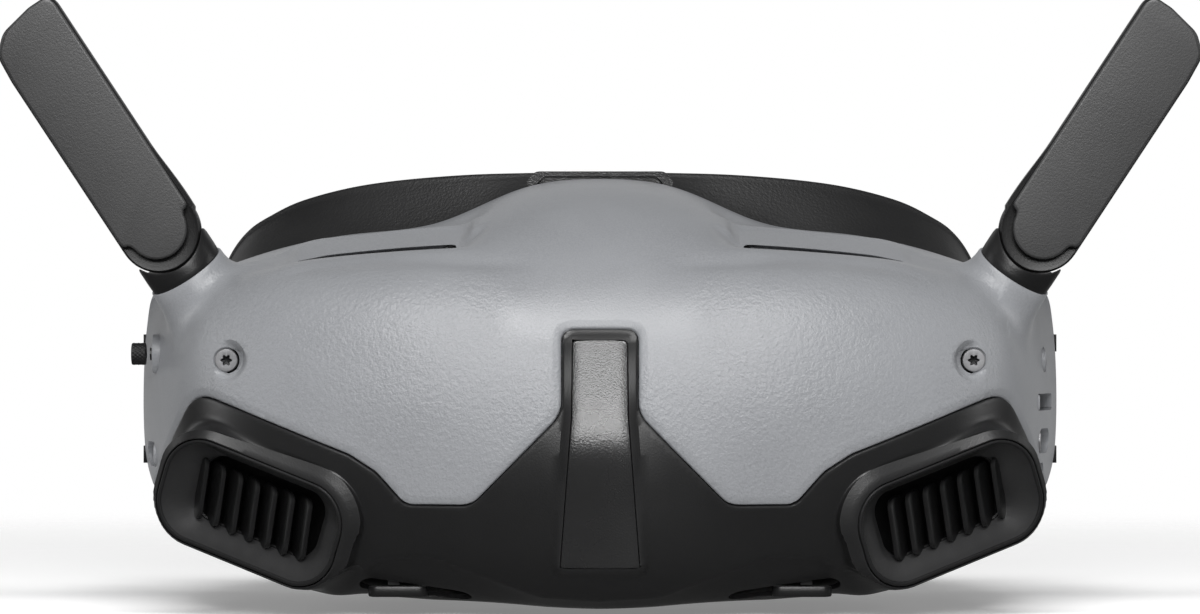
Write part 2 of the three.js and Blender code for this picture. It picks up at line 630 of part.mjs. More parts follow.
for (const [name, side] of SIDES) {
  const x = side * EYE_X;
  add(`eyepiece_barrel_${name}`, carrier(side), BLACK_PART);
  add(`eyepiece_lens_${name}`, turned(lensProfile(BARREL_R - BARREL_WALL - GAP), x, EYE_Z, 24), GLASS);
  add(`display_${name}`, box(x - 7, x + 7, -32, -30.6, EYE_Z - 6, EYE_Z + 6), BLACK_PART);
  const knob = roundRect(x - KNOB_HALF, x + KNOB_HALF, KNOB_Y - 1.6, KNOB_Y + 1.6, 1.5);
  add(`ipd_slider_${name}`, prismZ(knob, ...KNOB_Z), BLACK_PART);
}
for (const [name, z] of Object.entries(ROD_ZS)) add(`ipd_rod_${name}`, rodX(ROD_R, -47, 47, ROD_Y, z, 12), STEEL);

// ---------- electronics and cooling ----------
const BOARD_OUTLINE = bothHalves([[0, 53], [38, 53], [40, 50], [40, 33], [30, 29], [30, 13], [0, 13]]);
add("main_board", prismY(BOARD_OUTLINE, -37.6, -36), BOARD_GREEN);

const FAN_Z = 29;
const FAN_BLADES = 11;
function fanHousing() {
  const shroud = prismY(roundRect(-15, 15, FAN_Z - 15, FAN_Z + 15, 2), -45, -38.2);
  return shroud.subtract(rodY(13.4, -46, -39.4, 0, FAN_Z, 28)).subtract(rodY(2, -46, -37, 0, FAN_Z, 12));
}
add("fan_housing", fanHousing(), BLACK_PART);

function impeller() {
  let wheel = rodY(4.6, -44.6, -40, 0, FAN_Z, 20);
  wheel = wheel.add(rodY(12.4, -40.6, -39.8, 0, FAN_Z, 28)).add(rodY(1.6, -41, -38.6, 0, FAN_Z, 12));
  for (let k = 0; k < FAN_BLADES; k++) {
    const blade = new THREE.BoxGeometry(8, 3.6, 0.8).rotateY(0.5).translate(8.2, -42.2, 0);
    blade.rotateY((2 * Math.PI * k) / FAN_BLADES);
    wheel = wheel.add(solid(blade.translate(0, 0, FAN_Z)));
  }
  return wheel;
}
add("fan_impeller", impeller(), BLACK_PART);

const SINK = { x0: 17, x1: 34, z0: 24, z1: 42, fins: 6, pitch: 3.2 };
function heatSink() {
  let block = box(SINK.x0, SINK.x1, -39.4, -37.9, SINK.z0, SINK.z1);
  for (let k = 0; k < SINK.fins; k++) {
    const x = SINK.x0 + k * SINK.pitch;
    block = block.add(box(x, x + 1, -43.4, -38.5, SINK.z0, SINK.z1));
  }
  return block;
}
add("heat_sink", heatSink(), COPPER);

// ---------- controls and ports on the sides ----------
const [sx, sy, sz] = STICK;
const stickRod = (r, x0, x1, sides) => rodX(r, sx + x0, sx + x1, sy, sz, sides);
add("joystick_bezel", stickRod(3.4, -4.2, -2.2, 24).subtract(stickRod(2.8, -17, 13, 24)), GREY_SHELL);
add("joystick_gimbal", stickRod(3, -0.8, 0.8, 20).subtract(stickRod(2, -17, 13, 16)), STEEL);
add("joystick_stem", stickRod(1.1, -4.7, 1.2, 12), BLACK_PART);
add("joystick_cap", stickRod(1.95, -7.9, -5.4, 24), BLACK_PART);

add("back_button", prismX(BACK_BUTTON, -77.3, -73.2), BLACK_PART);
add("link_button", prismX(PORTS.link_button, 73.2, 76.9), BLACK_PART);
const usbMouth = prismX(roundRect(-7.8, -0.2, 27.8, 30.2, 1.1), 71, 80);
add("usb_c_port", prismX(PORTS.usb_c_port, 70, 75.8).subtract(usbMouth), STEEL);
const jackBore = rodX(1.75, 71, 80, -4, 22.5, 16);
add("audio_jack", prismX(PORTS.audio_jack, 70, 75.7).subtract(jackBore), BLACK_PART);
const cardMouth = box(67, 80, -9.6, 1.6, 35.2, 36.2);
add("card_slot", prismX(PORTS.card_slot, 66, 75.5).subtract(cardMouth), BLACK_PART);
const SENSOR_Y = BACK_PLATE_Y + FLANGE + GAP;
add("proximity_sensor", box(-3.2, 3.2, SENSOR_Y, SENSOR_Y + 1, 50, 54), GLASS);

// ---------- strap anchors ----------
function strapAnchor(side) {
  const plate = [[STRAP_PIN_Y, 28.4], [STRAP_PIN_Y, 43.9], [35, 43.9], [38, 41.6], [38, 31], [35, 28.4]];
  const x0 = STRAP_PIN_X - 1.2;
  let arm = prismX(plate, x0, x0 + 2.6).add(rodZ(2.4, 28.1, 44, STRAP_PIN_X, STRAP_PIN_Y, 20));
  arm = arm.subtract(rodZ(PIN_R + GAP, 20, 52, STRAP_PIN_X, STRAP_PIN_Y, 16));
  arm = arm.subtract(prismX(roundRect(30, 35, 31.5, 42, 1.5), x0 - 2, x0 + 6));
  return side > 0 ? arm : arm.mirror([1, 0, 0]);
}
for (const [name, side] of SIDES) {
  add(`strap_anchor_${name}`, strapAnchor(side), BLACK_SHELL);
  add(`strap_pin_${name}`, rodZ(PIN_R, 24.9, 47.2, side * STRAP_PIN_X, STRAP_PIN_Y, 12), STEEL);
}

// ---------- antennas ----------
// Each antenna is built upright round its hinge, front towards -Y, and its group leans outwards.
function collar() {
  const body = rodZ(COLLAR_R, COLLAR_FOOT + GAP, COLLAR_FOOT + GAP + 6, 0, 0, 24);
  const plug = rodZ(4.6, COLLAR_FOOT - 4.1, COLLAR_FOOT + 0.9, 0, 0, 20);
  const cup = solid(new THREE.SphereGeometry(CUP_R, 20, 12));
  const tongue = rodX(TONGUE_R, -1.5, 1.5, 0, 0, 12).add(box(-1.5, 1.5, -TONGUE_R, TONGUE_R, -8, 0));
  const behind = box(-9, 9, -0.2, 9, -4.4, 9);
  return body.add(plug).subtract(cup).subtract(behind).add(tongue).subtract(rodX(PIN_R + GAP, -5, 5, 0, 0, 12));
}

// The paddle's outline in its own front view: a half-round foot, straight sides and a slanted round tip.
function paddleOutline(side, margin, foot = PADDLE_HALF) {
  const half = PADDLE_HALF - margin;
  const points = foot < half ? [[-half, COVER_SHOULDER]] : [];
  for (let k = 0; k <= 12; k++)
    points.push([-foot * Math.cos((k * Math.PI) / 12), COVER_SHOULDER - foot * Math.sin((k * Math.PI) / 12)]);
  if (foot < half) points.push([half, COVER_SHOULDER]);
  const tip = [
    [half, 4.4], [half - 0.4, 2.6], [half - 1.2, 1.2], [half - 2.7, 0.3], [half - 4, 0], [1.2, 0.3], [-2, 1.2],
    [-4, 2.1], [-half + 1.8, 3], [-half + 0.8, 4.5], [-half, 7],
  ];
  points.push(...tip.map(([x, below]) => [x, PADDLE_LENGTH - margin - below]));
  return side > 0 ? points.map(([x, z]) => [-x, z]).reverse() : points;
}

function paddle(side) {
  let body = prismY(paddleOutline(side, 0), PADDLE_FRONT, PADDLE_BACK);
  const foot = solid(new THREE.SphereGeometry(CUP_R - GAP - 0.15, 20, 12));
  body = body.intersect(foot.add(box(-9, 9, -9, 9, 0, 60)));
  body = body.subtract(box(-1.9, 1.9, -TONGUE_R - GAP, 9, -9, TONGUE_R + GAP));
  return body.subtract(rodX(PIN_R + GAP, -5.2, 5.2, 0, 0, 12));
}
function paddleCover(side) {
  const outline = paddleOutline(side, 0.7, COVER_FOOT_R);
  const plate = prismY(outline, PADDLE_FRONT - GAP - COVER_THICK, PADDLE_FRONT - GAP);
  const foot = solid(new THREE.SphereGeometry(CUP_R - GAP - 0.15, 20, 12));
  return plate.intersect(foot.add(box(-9, 9, -9, 9, 0, 60)));
}
for (const [name, side] of SIDES) {
  const group = new THREE.Group();
  group.position.set(side * KNUCKLE[0], KNUCKLE[1], KNUCKLE[2]);
  group.rotation.y = side * THREE.MathUtils.degToRad(ANTENNA_TILT);
  root.add(group);
  add(`antenna_collar_${name}`, collar(), BLACK_PART, group);
  add(`antenna_pin_${name}`, rodX(PIN_R, -4.8, 4.8, 0, 0, 12), STEEL, group);
  add(`antenna_paddle_${name}`, paddle(side), BLACK_PART, group);
  add(`antenna_cover_${name}`, paddleCover(side), BLACK_SHELL, group);
}

root.position.set(...ORIGIN_SHIFT);

export default root;
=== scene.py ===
"""FPV goggles: the looks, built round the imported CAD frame."""
import json
import math

import bmesh
import bpy
import numpy as np
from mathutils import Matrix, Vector

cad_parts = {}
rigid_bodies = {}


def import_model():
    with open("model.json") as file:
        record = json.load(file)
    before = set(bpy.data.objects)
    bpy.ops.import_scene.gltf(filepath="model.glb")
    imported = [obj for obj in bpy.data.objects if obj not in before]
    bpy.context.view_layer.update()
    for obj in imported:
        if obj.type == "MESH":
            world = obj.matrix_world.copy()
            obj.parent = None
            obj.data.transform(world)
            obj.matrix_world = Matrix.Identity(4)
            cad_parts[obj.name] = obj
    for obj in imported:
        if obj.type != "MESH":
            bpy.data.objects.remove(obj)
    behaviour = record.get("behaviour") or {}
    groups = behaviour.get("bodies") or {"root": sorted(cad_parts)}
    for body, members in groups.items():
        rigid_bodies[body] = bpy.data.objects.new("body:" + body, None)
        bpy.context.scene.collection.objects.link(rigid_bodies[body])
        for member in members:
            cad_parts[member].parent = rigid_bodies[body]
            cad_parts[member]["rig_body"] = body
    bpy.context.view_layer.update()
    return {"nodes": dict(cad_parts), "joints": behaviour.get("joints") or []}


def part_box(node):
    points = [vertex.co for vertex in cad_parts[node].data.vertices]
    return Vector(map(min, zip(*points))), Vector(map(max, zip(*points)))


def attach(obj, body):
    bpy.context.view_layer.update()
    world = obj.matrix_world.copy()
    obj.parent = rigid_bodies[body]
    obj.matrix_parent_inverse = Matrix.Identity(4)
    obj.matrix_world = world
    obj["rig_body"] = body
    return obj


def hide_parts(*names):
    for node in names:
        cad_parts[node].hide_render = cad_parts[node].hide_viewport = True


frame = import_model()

# ---------- driving dimensions, in millimetres ----------
MM = 0.001
JOINTS = {j["name"]: j for j in frame["joints"]}
KNUCKLE = np.array([75.2, -14, 65])  # centre of the right antenna's fold hinge
SHIFT = np.array(JOINTS["antenna_right_fold"]["pos_m"]) / MM - KNUCKLE  # from these numbers to the row frame
REAR_Y = 8
WALL = 2
GAP = 0.08  # half the visible gap at the seam
ANTENNA_TILT = math.radians(33.4)
COLLAR_R = 6.7
COLLAR_FOOT = -8.3
COLLAR_LEAN = 0.27  # how far the collar's foot drops towards the front, per mm
SIDES = (-1, 1)
NAME = {-1: "left", 1: "right"}
FAR = 50  # a distance that stands for "nowhere near"

# Control points of the shell's master surface, right half, from the middle to the side. The rows run from the
# bottom's rear edge forward under the chin, up the front and back over the top.
HALF_NET = np.array([
    [[0, 8, 3], [14, 8, 3], [28, 8, 3.5], [42, 8, 5], [56, 8, 8], [67, 8, 12], [74, 8, 16], [77.8, 8, 20]],
    [[0, -14, 1], [14, -14, 1.6], [28, -14, 1.5], [42, -14, 2.5],
     [56, -13, 5.9], [67, -9, 11], [74.5, -4, 16], [78.5, 8, 22]],
    [[0, -34, -1], [14, -34, 0], [28, -33, 1.4], [42, -32, 1.9], [56, -28, 5.6],
     [67, -20, 12], [74, -10, 18], [79.1, 8, 24]],
    [[0, -48, 4], [14, -45.5, 4], [28, -43, 8], [42, -41, 8], [56, -36, 10],
     [67, -27, 15], [73.5, -14, 21], [79.6, 8, 27]],
    [[0, -53, 14], [14, -49, 13], [28, -46, 15], [42, -44, 15], [56, -40, 16],
     [67, -31, 20], [73.4, -17, 26], [79.8, 8, 30]],
    [[0, -53.5, 27], [14, -51, 25], [28, -49, 25], [42, -47, 25], [56, -42, 26],
     [67, -33, 29], [73.6, -18, 33], [79.95, 8, 35]],
    [[0, -50, 40], [14, -50.5, 39], [28, -50.5, 38], [42, -48, 38], [56, -42.5, 38],
     [67, -33, 39], [73.6, -18, 40], [79.85, 8, 41]],
    [[0, -45, 52], [14, -45.5, 51], [28, -46.5, 51], [42, -44.5, 51],
     [56, -39.5, 49], [67, -31, 48], [73.4, -17, 47], [79.6, 8, 46]],
    [[0, -37, 61], [14, -37, 60.5], [28, -38, 60], [42, -36, 59.5], [56, -32, 57.5],
     [67, -24, 55], [73, -13, 52], [79.2, 8, 49.5]],
    [[0, -24, 69.5], [14, -24, 68.5], [28, -22, 62.6], [42, -21, 61.4],
     [56, -18, 60.1], [66.5, -13, 58], [72.7, -6, 55], [78.9, 8, 52]],
    [[0, -8, 73.6], [14, -8, 72.8], [28, -7, 64.5], [42, -6, 64],
     [56, -5, 62], [66, -3, 59], [72.5, 1, 56], [78.6, 8, 53.3]],
    [[0, 8, 74.8], [14, 8, 74], [28, 8, 65.6], [42, 8, 65.4], [56, 8, 62.65],
     [66, 8, 59], [72.5, 8, 56.5], [78.3, 8, 54]],
])

# Front-view outlines, right half: [x, z, corner radius].
SEAM = [
    [0, 48.6, 0], [6.3, 48.6, 1.9], [6.3, 34.6, 5.5], [21.2, 19.35, 4], [32.2, 19.35, 3.2], [37, 24.8, 6],
    [41.5, 27.7, 8], [61, 35.3, 12], [68.2, 37.9, 4.5], [72.6, 30.4, 6], [75, 26, 0], [81, 12, 0],
]


# ---------- curves and fields ----------
def rounded(points, closed=False, steps=6):
    """The polyline with each corner turned into a curve; a point is [a, b, radius]."""
    pts = np.array([p[:2] for p in points], float)
    radii = [p[2] if len(p) > 2 else 0 for p in points]
    n = len(pts)
    out = []
    for i in range(n):
        p = pts[i]
        if radii[i] <= 0 or (not closed and i in (0, n - 1)):
            out.append(p)
            continue
        a, b = pts[(i - 1) % n] - p, pts[(i + 1) % n] - p
        la, lb = np.linalg.norm(a), np.linalg.norm(b)
        half = math.acos(np.clip(a @ b / (la * lb), -1, 1)) / 2
        t = min(radii[i] / math.tan(half), 0.48 * la, 0.48 * lb)
        p0, p1 = p + a / la * t, p + b / lb * t
        for s in np.linspace(0, 1, steps):
            out.append((1 - s) ** 2 * p0 + 2 * s * (1 - s) * p + s * s * p1)
    return np.array(out)


def both_halves(half):
    """A closed outline from its right half, from the top middle to the bottom middle."""
    half = np.asarray(half)
    return np.concatenate([half, half[-2:0:-1] * (-1, 1)])


def nearest(points, line, closed=False):
    """Distance from 2-D points to a polyline, and the unit direction from the line to the point."""
    a = line if closed else line[:-1]
    b = np.roll(line, -1, axis=0) if closed else line[1:]
    d = b - a
    best = np.full(len(points), np.inf)
    way = np.zeros_like(points)
    for p, q, length in zip(a, d, (d * d).sum(1)):
        if length < 1e-12:
            continue
        t = np.clip(((points - p) @ q) / length, 0, 1)
        off = points - p - t[:, None] * q
        dist = np.hypot(off[:, 0], off[:, 1])
        near = dist < best
        best[near] = dist[near]
        way[near] = off[near]
    return best, way / np.maximum(best, 1e-9)[:, None]


def inside(points, loop):
    """Whether each 2-D point lies inside a closed loop."""
    x, y = points[:, 0], points[:, 1]
    hit = np.zeros(len(points), bool)
    for (x0, y0), (x1, y1) in zip(loop, np.roll(loop, -1, axis=0)):
        crosses = (y0 > y) != (y1 > y)
        with np.errstate(divide="ignore", invalid="ignore"):
            hit ^= crosses & (x < (x1 - x0) * (y - y0) / (y1 - y0) + x0)
    return hit


def signed(points, loop):
    """Distance outside a closed loop, negative inside, and its gradient."""
    dist, way = nearest(points, loop, closed=True)
    sign = np.where(inside(points, loop), -1, 1)
    return dist * sign, way * sign[:, None]


def smooth(x, a, b):
    t = np.clip((x - a) / (b - a), 0, 1)
    return t * t * (3 - 2 * t)


def bump(d, radius):
    """1 at d = 0, falling smoothly to 0 at radius."""
    return np.clip(1 - (d / radius) ** 2, 0, 1) ** 2


# ---------- the master surface ----------
FULL_NET = np.concatenate([HALF_NET[:, :0:-1] * (-1, 1, 1), HALF_NET], axis=1)
NET = np.concatenate([2 * FULL_NET[:1] - FULL_NET[1:2], FULL_NET, 2 * FULL_NET[-1:] - FULL_NET[-2:-1]])
NET = np.concatenate([2 * NET[:, :1] - NET[:, 1:2], NET, 2 * NET[:, -1:] - NET[:, -2:-1]], axis=1)
ROWS, COLUMNS = FULL_NET.shape[:2]


def basis(t, n):
    span = np.clip(np.floor(t).astype(int), 0, n - 2)
    f = t - span
    weights = [(1 - f) ** 3, 3 * f**3 - 6 * f**2 + 4, -3 * f**3 + 3 * f**2 + 3 * f + 1, f**3]
    return span, np.stack(weights, -1) / 6


def base(uv):
    """Points of the master surface: u from -1 on the left to 1, v from 0 under the chin to 1 on top."""
    iu, wu = basis((uv[:, 0] + 1) / 2 * (COLUMNS - 1), COLUMNS)
    iv, wv = basis(uv[:, 1] * (ROWS - 1), ROWS)
    out = np.zeros((len(uv), 3))
    for j in range(4):
        for i in range(4):
            out += (wv[:, j] * wu[:, i])[:, None] * NET[iv + j, iu + i]
    return out


def base_normal(uv, e=1e-3):
    def slope(step):
        return base(np.minimum(uv + step, (1, 1))) - base(np.maximum(uv - step, (-1, 0)))
    n = np.cross(slope((e, 0)), slope((0, e)))
    return n / np.linalg.norm(n, axis=1)[:, None]


class Sheet:
    """Triangles over the master surface's (u, v) domain."""

    def __init__(self, us, vs):
        nu, nv = len(us), len(vs)
        grid_u, grid_v = np.meshgrid(us, vs)
        self.uv = np.c_[grid_u.ravel(), grid_v.ravel()]
        i, j = np.meshgrid(np.arange(nu - 1), np.arange(nv - 1))
        a = (j * nu + i).ravel()
        b, c, d = a + 1, a + nu + 1, a + nu
        self.tri = np.concatenate([np.c_[a, b, c], np.c_[a, c, d]])
        self.locked = np.zeros(len(self.uv), bool)

    def split(self, field, value=0.0):
        """Cuts the triangles along field == value, moving vertices that are close to the cut onto it."""
        f = field(self.uv) - value
        f[self.locked & (np.abs(f) < 1e-3)] = 0
        edges = np.unique(np.sort(self.tri[:, [0, 1, 1, 2, 2, 0]].reshape(-1, 2), axis=1), axis=0)

        def crossed():
            a, b = edges[f[edges[:, 0]] * f[edges[:, 1]] < 0].T
            return a, b, f[a] / (f[a] - f[b])
        a, b, t = crossed()
        who = np.where(t < 0.5, a, b)
        share = np.minimum(t, 1 - t)
        ok = (share < 0.3) & ~self.locked[who]
        spot = self.uv[a] + t[:, None] * (self.uv[b] - self.uv[a])
        order = np.argsort(-share[ok])
        who, spot = who[ok][order], spot[ok][order]
        self.uv[who] = spot
        f[who] = 0
        a, b, t = crossed()
        new = self.uv[a] + t[:, None] * (self.uv[b] - self.uv[a])
        for _ in range(2):
            g = field(new) - value
            side = np.where(g * f[a] > 0, 0, 1)
            fa = np.where(side == 0, g, f[a])
            fb = np.where(side == 0, f[b], g)
            ta = np.where(side == 0, t, 0)
            tb = np.where(side == 0, 1, t)
            t = np.clip(ta + (tb - ta) * fa / np.where(np.abs(fa - fb) < 1e-12, 1, fa - fb), 0.02, 0.98)
            new = self.uv[a] + t[:, None] * (self.uv[b] - self.uv[a])
        count = len(self.uv)
        key = {}
        for k, (p, q) in enumerate(zip(a.tolist(), b.tolist())):
            key[p, q] = key[q, p] = count + k
        self.uv = np.concatenate([self.uv, new])
        f = np.concatenate([f, np.zeros(len(new))])
        sign = np.sign(f).astype(int)
        s = sign[self.tri]
        mixed = (s.max(1) > 0) & (s.min(1) < 0)
        out = [self.tri[~mixed]]
        extra = []
        for tri, st in zip(self.tri[mixed].tolist(), s[mixed].tolist()):
            if 0 in st:
                k = st.index(0)
                p, q, r = tri[k], tri[(k + 1) % 3], tri[(k + 2) % 3]
                m = key[q, r]
                extra += [(p, q, m), (p, m, r)]
            else:
                k = next(k for k in range(3) if st[k] != st[(k + 1) % 3] and st[k] != st[(k + 2) % 3])
                p, q, r = tri[k], tri[(k + 1) % 3], tri[(k + 2) % 3]
                m, n = key[p, q], key[p, r]
                extra += [(p, m, n), (m, q, r), (m, r, n)]
        if extra:
            out.append(np.array(extra))
        self.tri = np.concatenate(out)
        self.locked = np.concatenate([self.locked, np.zeros(len(new), bool)])
        self.locked |= f == 0
        return self

    def keep(self, field):
        """Keeps the triangles whose centre has field > 0."""
        self.tri = self.tri[field(self.uv[self.tri].mean(1)) > 0]
        return self

    def cut(self, field, value=0.0):
        """Cuts along field == value and keeps the part above it."""
        return self.split(field, value).keep(lambda uv: field(uv) - value)

    def tidy(self):
        """Drops unused vertices."""
        used = np.unique(self.tri)
        index = np.full(len(self.uv), -1)
        index[used] = np.arange(len(used))
        self.uv, self.tri, self.locked = self.uv[used], index[self.tri], self.locked[used]
        return self

    def loops(self):
        """The boundary loops, as lists of vertices with the sheet on their left."""
        ends = {}
        edges = self.tri[:, [0, 1, 1, 2, 2, 0]].reshape(-1, 2)
        codes = edges[:, 0].astype(np.int64) * (len(self.uv) + 1) + edges[:, 1]
        back = edges[:, 1].astype(np.int64) * (len(self.uv) + 1) + edges[:, 0]
        for p, q in edges[~np.isin(codes, back)].tolist():
            ends.setdefault(p, []).append(q)
        found = []
        while ends:
            start = next(iter(ends))
            loop = [start]
            while True:
                q = ends[loop[-1]].pop()
                if not ends[loop[-1]]:
                    del ends[loop[-1]]
                if q == start:
                    break
                loop.append(q)
            found.append(loop)
        return found


def along(counts, low, high):
    """Sample positions from low to high with counts[k] steps in the k-th equal span."""
    edges = np.linspace(low, high, len(counts) + 1)
    parts = [np.linspace(edges[k], edges[k + 1], counts[k], endpoint=False) for k in range(len(counts))]
    return np.append(np.concatenate(parts), high)


# ---------- fields of the shell, all in the front view unless they say otherwise ----------
SEAM_LINE = rounded(SEAM)
COVER_LOOP = both_halves(np.concatenate([SEAM_LINE, [[81, -10], [0, -10]]]))
SCREW = np.array([62.5, 43.2])
SCREW_HOLE = 2.25
BOSS_CUT = 14.5
POD_CUT = 3.2
NOTCH = rounded([[29.3, 30, 0], [29.3, -10.3, 3], [-29.3, -10.3, 3], [-29.3, 30, 0]], closed=True)
SLIT_NOSE_END = [[46, -20.2, 3], [24.3, -20.2, 1.5], [24.3, -23.4, 1.5]]
SLIT = rounded([[51.2, -22.5, 0.45], [51.2, -21.5, 0.45], *SLIT_NOSE_END], closed=True)
# The sunken part round the slit.
VENT = rounded([[21.2, -25.5, 3], [53.5, -25.5, 3], [53.5, -8.5, 5], [21.2, -8.5, 7]], closed=True)
STRIP = both_halves(rounded([[0, 46.7, 0], [4.64, 46.7, 0.9], [4.75, 34, 8], [6.65, 9.1, 0.5], [0, 9.1, 0]]))
STRIP_BEVEL = 1.45
STRIP_SOFT = 0.9  # how gently the strip's face bends
RIM_FRONT = -2.2
SCREW_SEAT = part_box("shell_screw_right")[0].y / MM - SHIFT[1] - 0.25
EDGE_WIDTH = 1.5  # the chamfer along the seam
EDGE_DROP = 0.34
EDGE_ROUND = 0.3
COVER_EDGE = 0.3

INTAKE_CENTRE = np.array([57.2, -38.5, 18.4])
INTAKE_TURN, INTAKE_NOD, INTAKE_SLOPE = (math.radians(a) for a in (22, 6, 20))


def turn(axis, angle):
    """The matrix of a turn about a coordinate axis."""
    k = "xyz".index(axis)
    a, b = (k + 1) % 3, (k + 2) % 3
    out = np.eye(3)
    out[a, a] = out[b, b] = math.cos(angle)
    out[b, a], out[a, b] = math.sin(angle), -math.sin(angle)
    return out


def intake_axes(side):
    """The columns are an intake's own axes: along its length, into the body, and up."""
    return turn("z", side * INTAKE_TURN) @ turn("x", INTAKE_NOD) @ turn("y", -side * INTAKE_SLOPE)


def to_intake(points, side):
    return (points - INTAKE_CENTRE * (side, 1, 1)) @ intake_axes(side)


def from_intake(points, side):
    return points @ intake_axes(side).T + INTAKE_CENTRE * (side, 1, 1)


def round_rect(x0, x1, z0, z1, r, steps=10, sides=8):
    """Rectangle with round corners, counter-clockwise, with its straight sides divided too."""
    out = []
    corners = [(x1 - r, z1 - r, 0), (x0 + r, z1 - r, 90), (x0 + r, z0 + r, 180), (x1 - r, z0 + r, 270)]
    for k, (cx, cz, start) in enumerate(corners):
        for a in np.radians(start + np.linspace(0, 90, steps + 1)):
            out.append((cx + r * math.cos(a), cz + r * math.sin(a)))
        nx, nz, after = corners[(k + 1) % 4]
        a = math.radians(after)
        end = np.array([nx + r * math.cos(a), nz + r * math.sin(a)])
        begin = np.array(out[-1])
        out += [tuple(begin + (end - begin) * t / sides) for t in range(1, sides)]
    return np.array(out)


def grown(loop, d):
    """A counter-clockwise loop moved outwards by d, which may differ from point to point."""
    way = np.roll(loop, -1, axis=0) - np.roll(loop, 1, axis=0)
    out = np.c_[way[:, 1], -way[:, 0]] / np.linalg.norm(way, axis=1)[:, None]
    return loop + out * np.asarray(d).reshape(-1, 1)


INTAKE_OUTLINE = round_rect(-17.2, 16.6, -9.4, 8.6, 7)
INTAKE_MOUTH = round_rect(-16.35, 15.7, -8.5, 7.9, 6.2)
THROAT_SHOWN = round_rect(-12.4, 10.4, -5.9, 5.3, 3.4)


KNOB_SLOT = round_rect(21.6, 40.3, -37.6, -32.4, 2.2)
SIDE_OPENINGS = (
    (-1, round_rect(-3.15, 5.15, 24.45, 28.75, 2.0)),  # back button
    (1, round_rect(-8.75, 0.75, 26.85, 31.15, 2.0)),  # USB-C port
    (1, round_rect(-6.75, -1.25, 19.75, 25.25, 2.7)),  # audio jack
    (1, round_rect(-10.65, 2.65, 34.25, 37.15, 0.7)),  # card slot
    (1, round_rect(-6.15, -1.85, 40.85, 45.15, 2.1)),  # link button
)
FROM_ABOVE, FROM_FRONT, FROM_SIDE = [0, 1], [0, 2], [1, 2]
TOP_FROM = 50  # the shell's top lies above this height


def intake_outline(points, side):
    """The outlines are the left side's; the right side's are mirrored and stay counter-clockwise."""
    return points if side < 0 else points[::-1] * (-1, 1)


def antenna_axis(side):
    return np.array([side * math.sin(ANTENNA_TILT), 0, math.cos(ANTENNA_TILT)])


def seam_field(uv):
    """Distance over the surface from the seam, positive on the grey side."""
    p, n = base(uv), base_normal(uv)
    d, way = signed(p[:, [0, 2]], COVER_LOOP)
    slope = (way * n[:, [0, 2]]).sum(1)
    return d / np.sqrt(np.clip(1 - slope**2, 0.04, 1))


def boss_field(side):
    def field(uv):
        off = base(uv) - KNUCKLE * (side, 1, 1)
        along_axis = off @ antenna_axis(side)
        r = np.linalg.norm(off - along_axis[:, None] * antenna_axis(side), axis=1)
        return np.where(along_axis > -40, r, 60) - BOSS_CUT
    return field


def screw_field(side):
    def field(uv):
        p = base(uv)
        r = np.hypot(p[:, 0] - side * SCREW[0], p[:, 2] - SCREW[1])
        return np.where(p[:, 1] < 0, r, FAR) - SCREW_HOLE
    return field


def outline_field(loop, axes, where, side=1):
    """Distance outside an outline seen along one axis, for the part of the surface that passes a test."""
    def field(uv):
        p = base(uv)
        d, _ = signed(p[:, axes] * (side, 1), loop)
        return np.where(where(p), d, FAR)
    return field


def slit_field(side):
    return outline_field(SLIT, FROM_ABOVE, lambda p: p[:, 2] > TOP_FROM, side)


def vent_field(side):
    return outline_field(VENT, FROM_ABOVE, lambda p: p[:, 2] > TOP_FROM, side)


def pod_field(side):
    def field(uv):
        q = to_intake(base(uv), side)
        d, _ = signed(q[:, [0, 2]], intake_outline(INTAKE_OUTLINE, side))
        return np.where(np.abs(q[:, 1]) < 24, d, FAR) - POD_CUT
    return field


def knob_field(side):
    """The slot in the underside in which an eye-spacing knob slides."""
    return outline_field(KNOB_SLOT, FROM_ABOVE, lambda p: p[:, 2] < 14, side)


def side_fields():
    """The openings in the sides, each as seen from its side."""
    def opening(side, loop):
        return outline_field(loop, FROM_SIDE, lambda p: p[:, 0] * side > 66)
    return [opening(side, loop) for side, loop in SIDE_OPENINGS]


notch_field = outline_field(NOTCH, FROM_ABOVE, lambda p: p[:, 2] < 20)
strip_field = outline_field(STRIP, FROM_FRONT, lambda p: p[:, 1] < -20)
SHELL_US = along([30, 20, 16, 16, 16, 14, 12, 12, 14, 16, 16, 16, 20, 30], -1, 1)
SHELL_VS = along([14, 14, 14, 14, 16, 18, 18, 18, 20, 20, 12], 0, 1)


# ---------- making meshes ----------
def to_metres(points):
    return (np.asarray(points, float) + SHIFT) * MM


def in_mm(points):
    return np.array(points) / MM - SHIFT


def node_box(node):
    """The lowest and the highest corner of a CAD node."""
    return [in_mm(corner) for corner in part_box(node)]


def points_of(piece):
    return np.array([v.co for v in piece.data.vertices])


def move_points(piece, points):
    piece.data.vertices.foreach_set("co", points.astype(np.float32).ravel())
    piece.data.update()


def mesh_piece(made, name, material, node, body="root", sharp=28):
    """A finished piece from a solid in millimetres: it rides on a body and stands for a CAD node."""
    mesh = bpy.data.meshes.new(name)
    mesh.from_pydata(to_metres(made.points).tolist(), [], [list(map(int, f)) for f in made.faces])
    mesh.validate()
    return placed(mesh, name, material, node, body, sharp)


def placed(mesh, name, material, node, body, sharp):
    """A mesh as a piece of the scene, with edges sharper than sharp degrees left crisp."""
    piece = bpy.data.objects.new(name, mesh)
    bpy.context.scene.collection.objects.link(piece)
    crisp(mesh, sharp)
    mesh.materials.append(MATERIALS[material])
    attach(piece, body)
    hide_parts(node)
    return piece


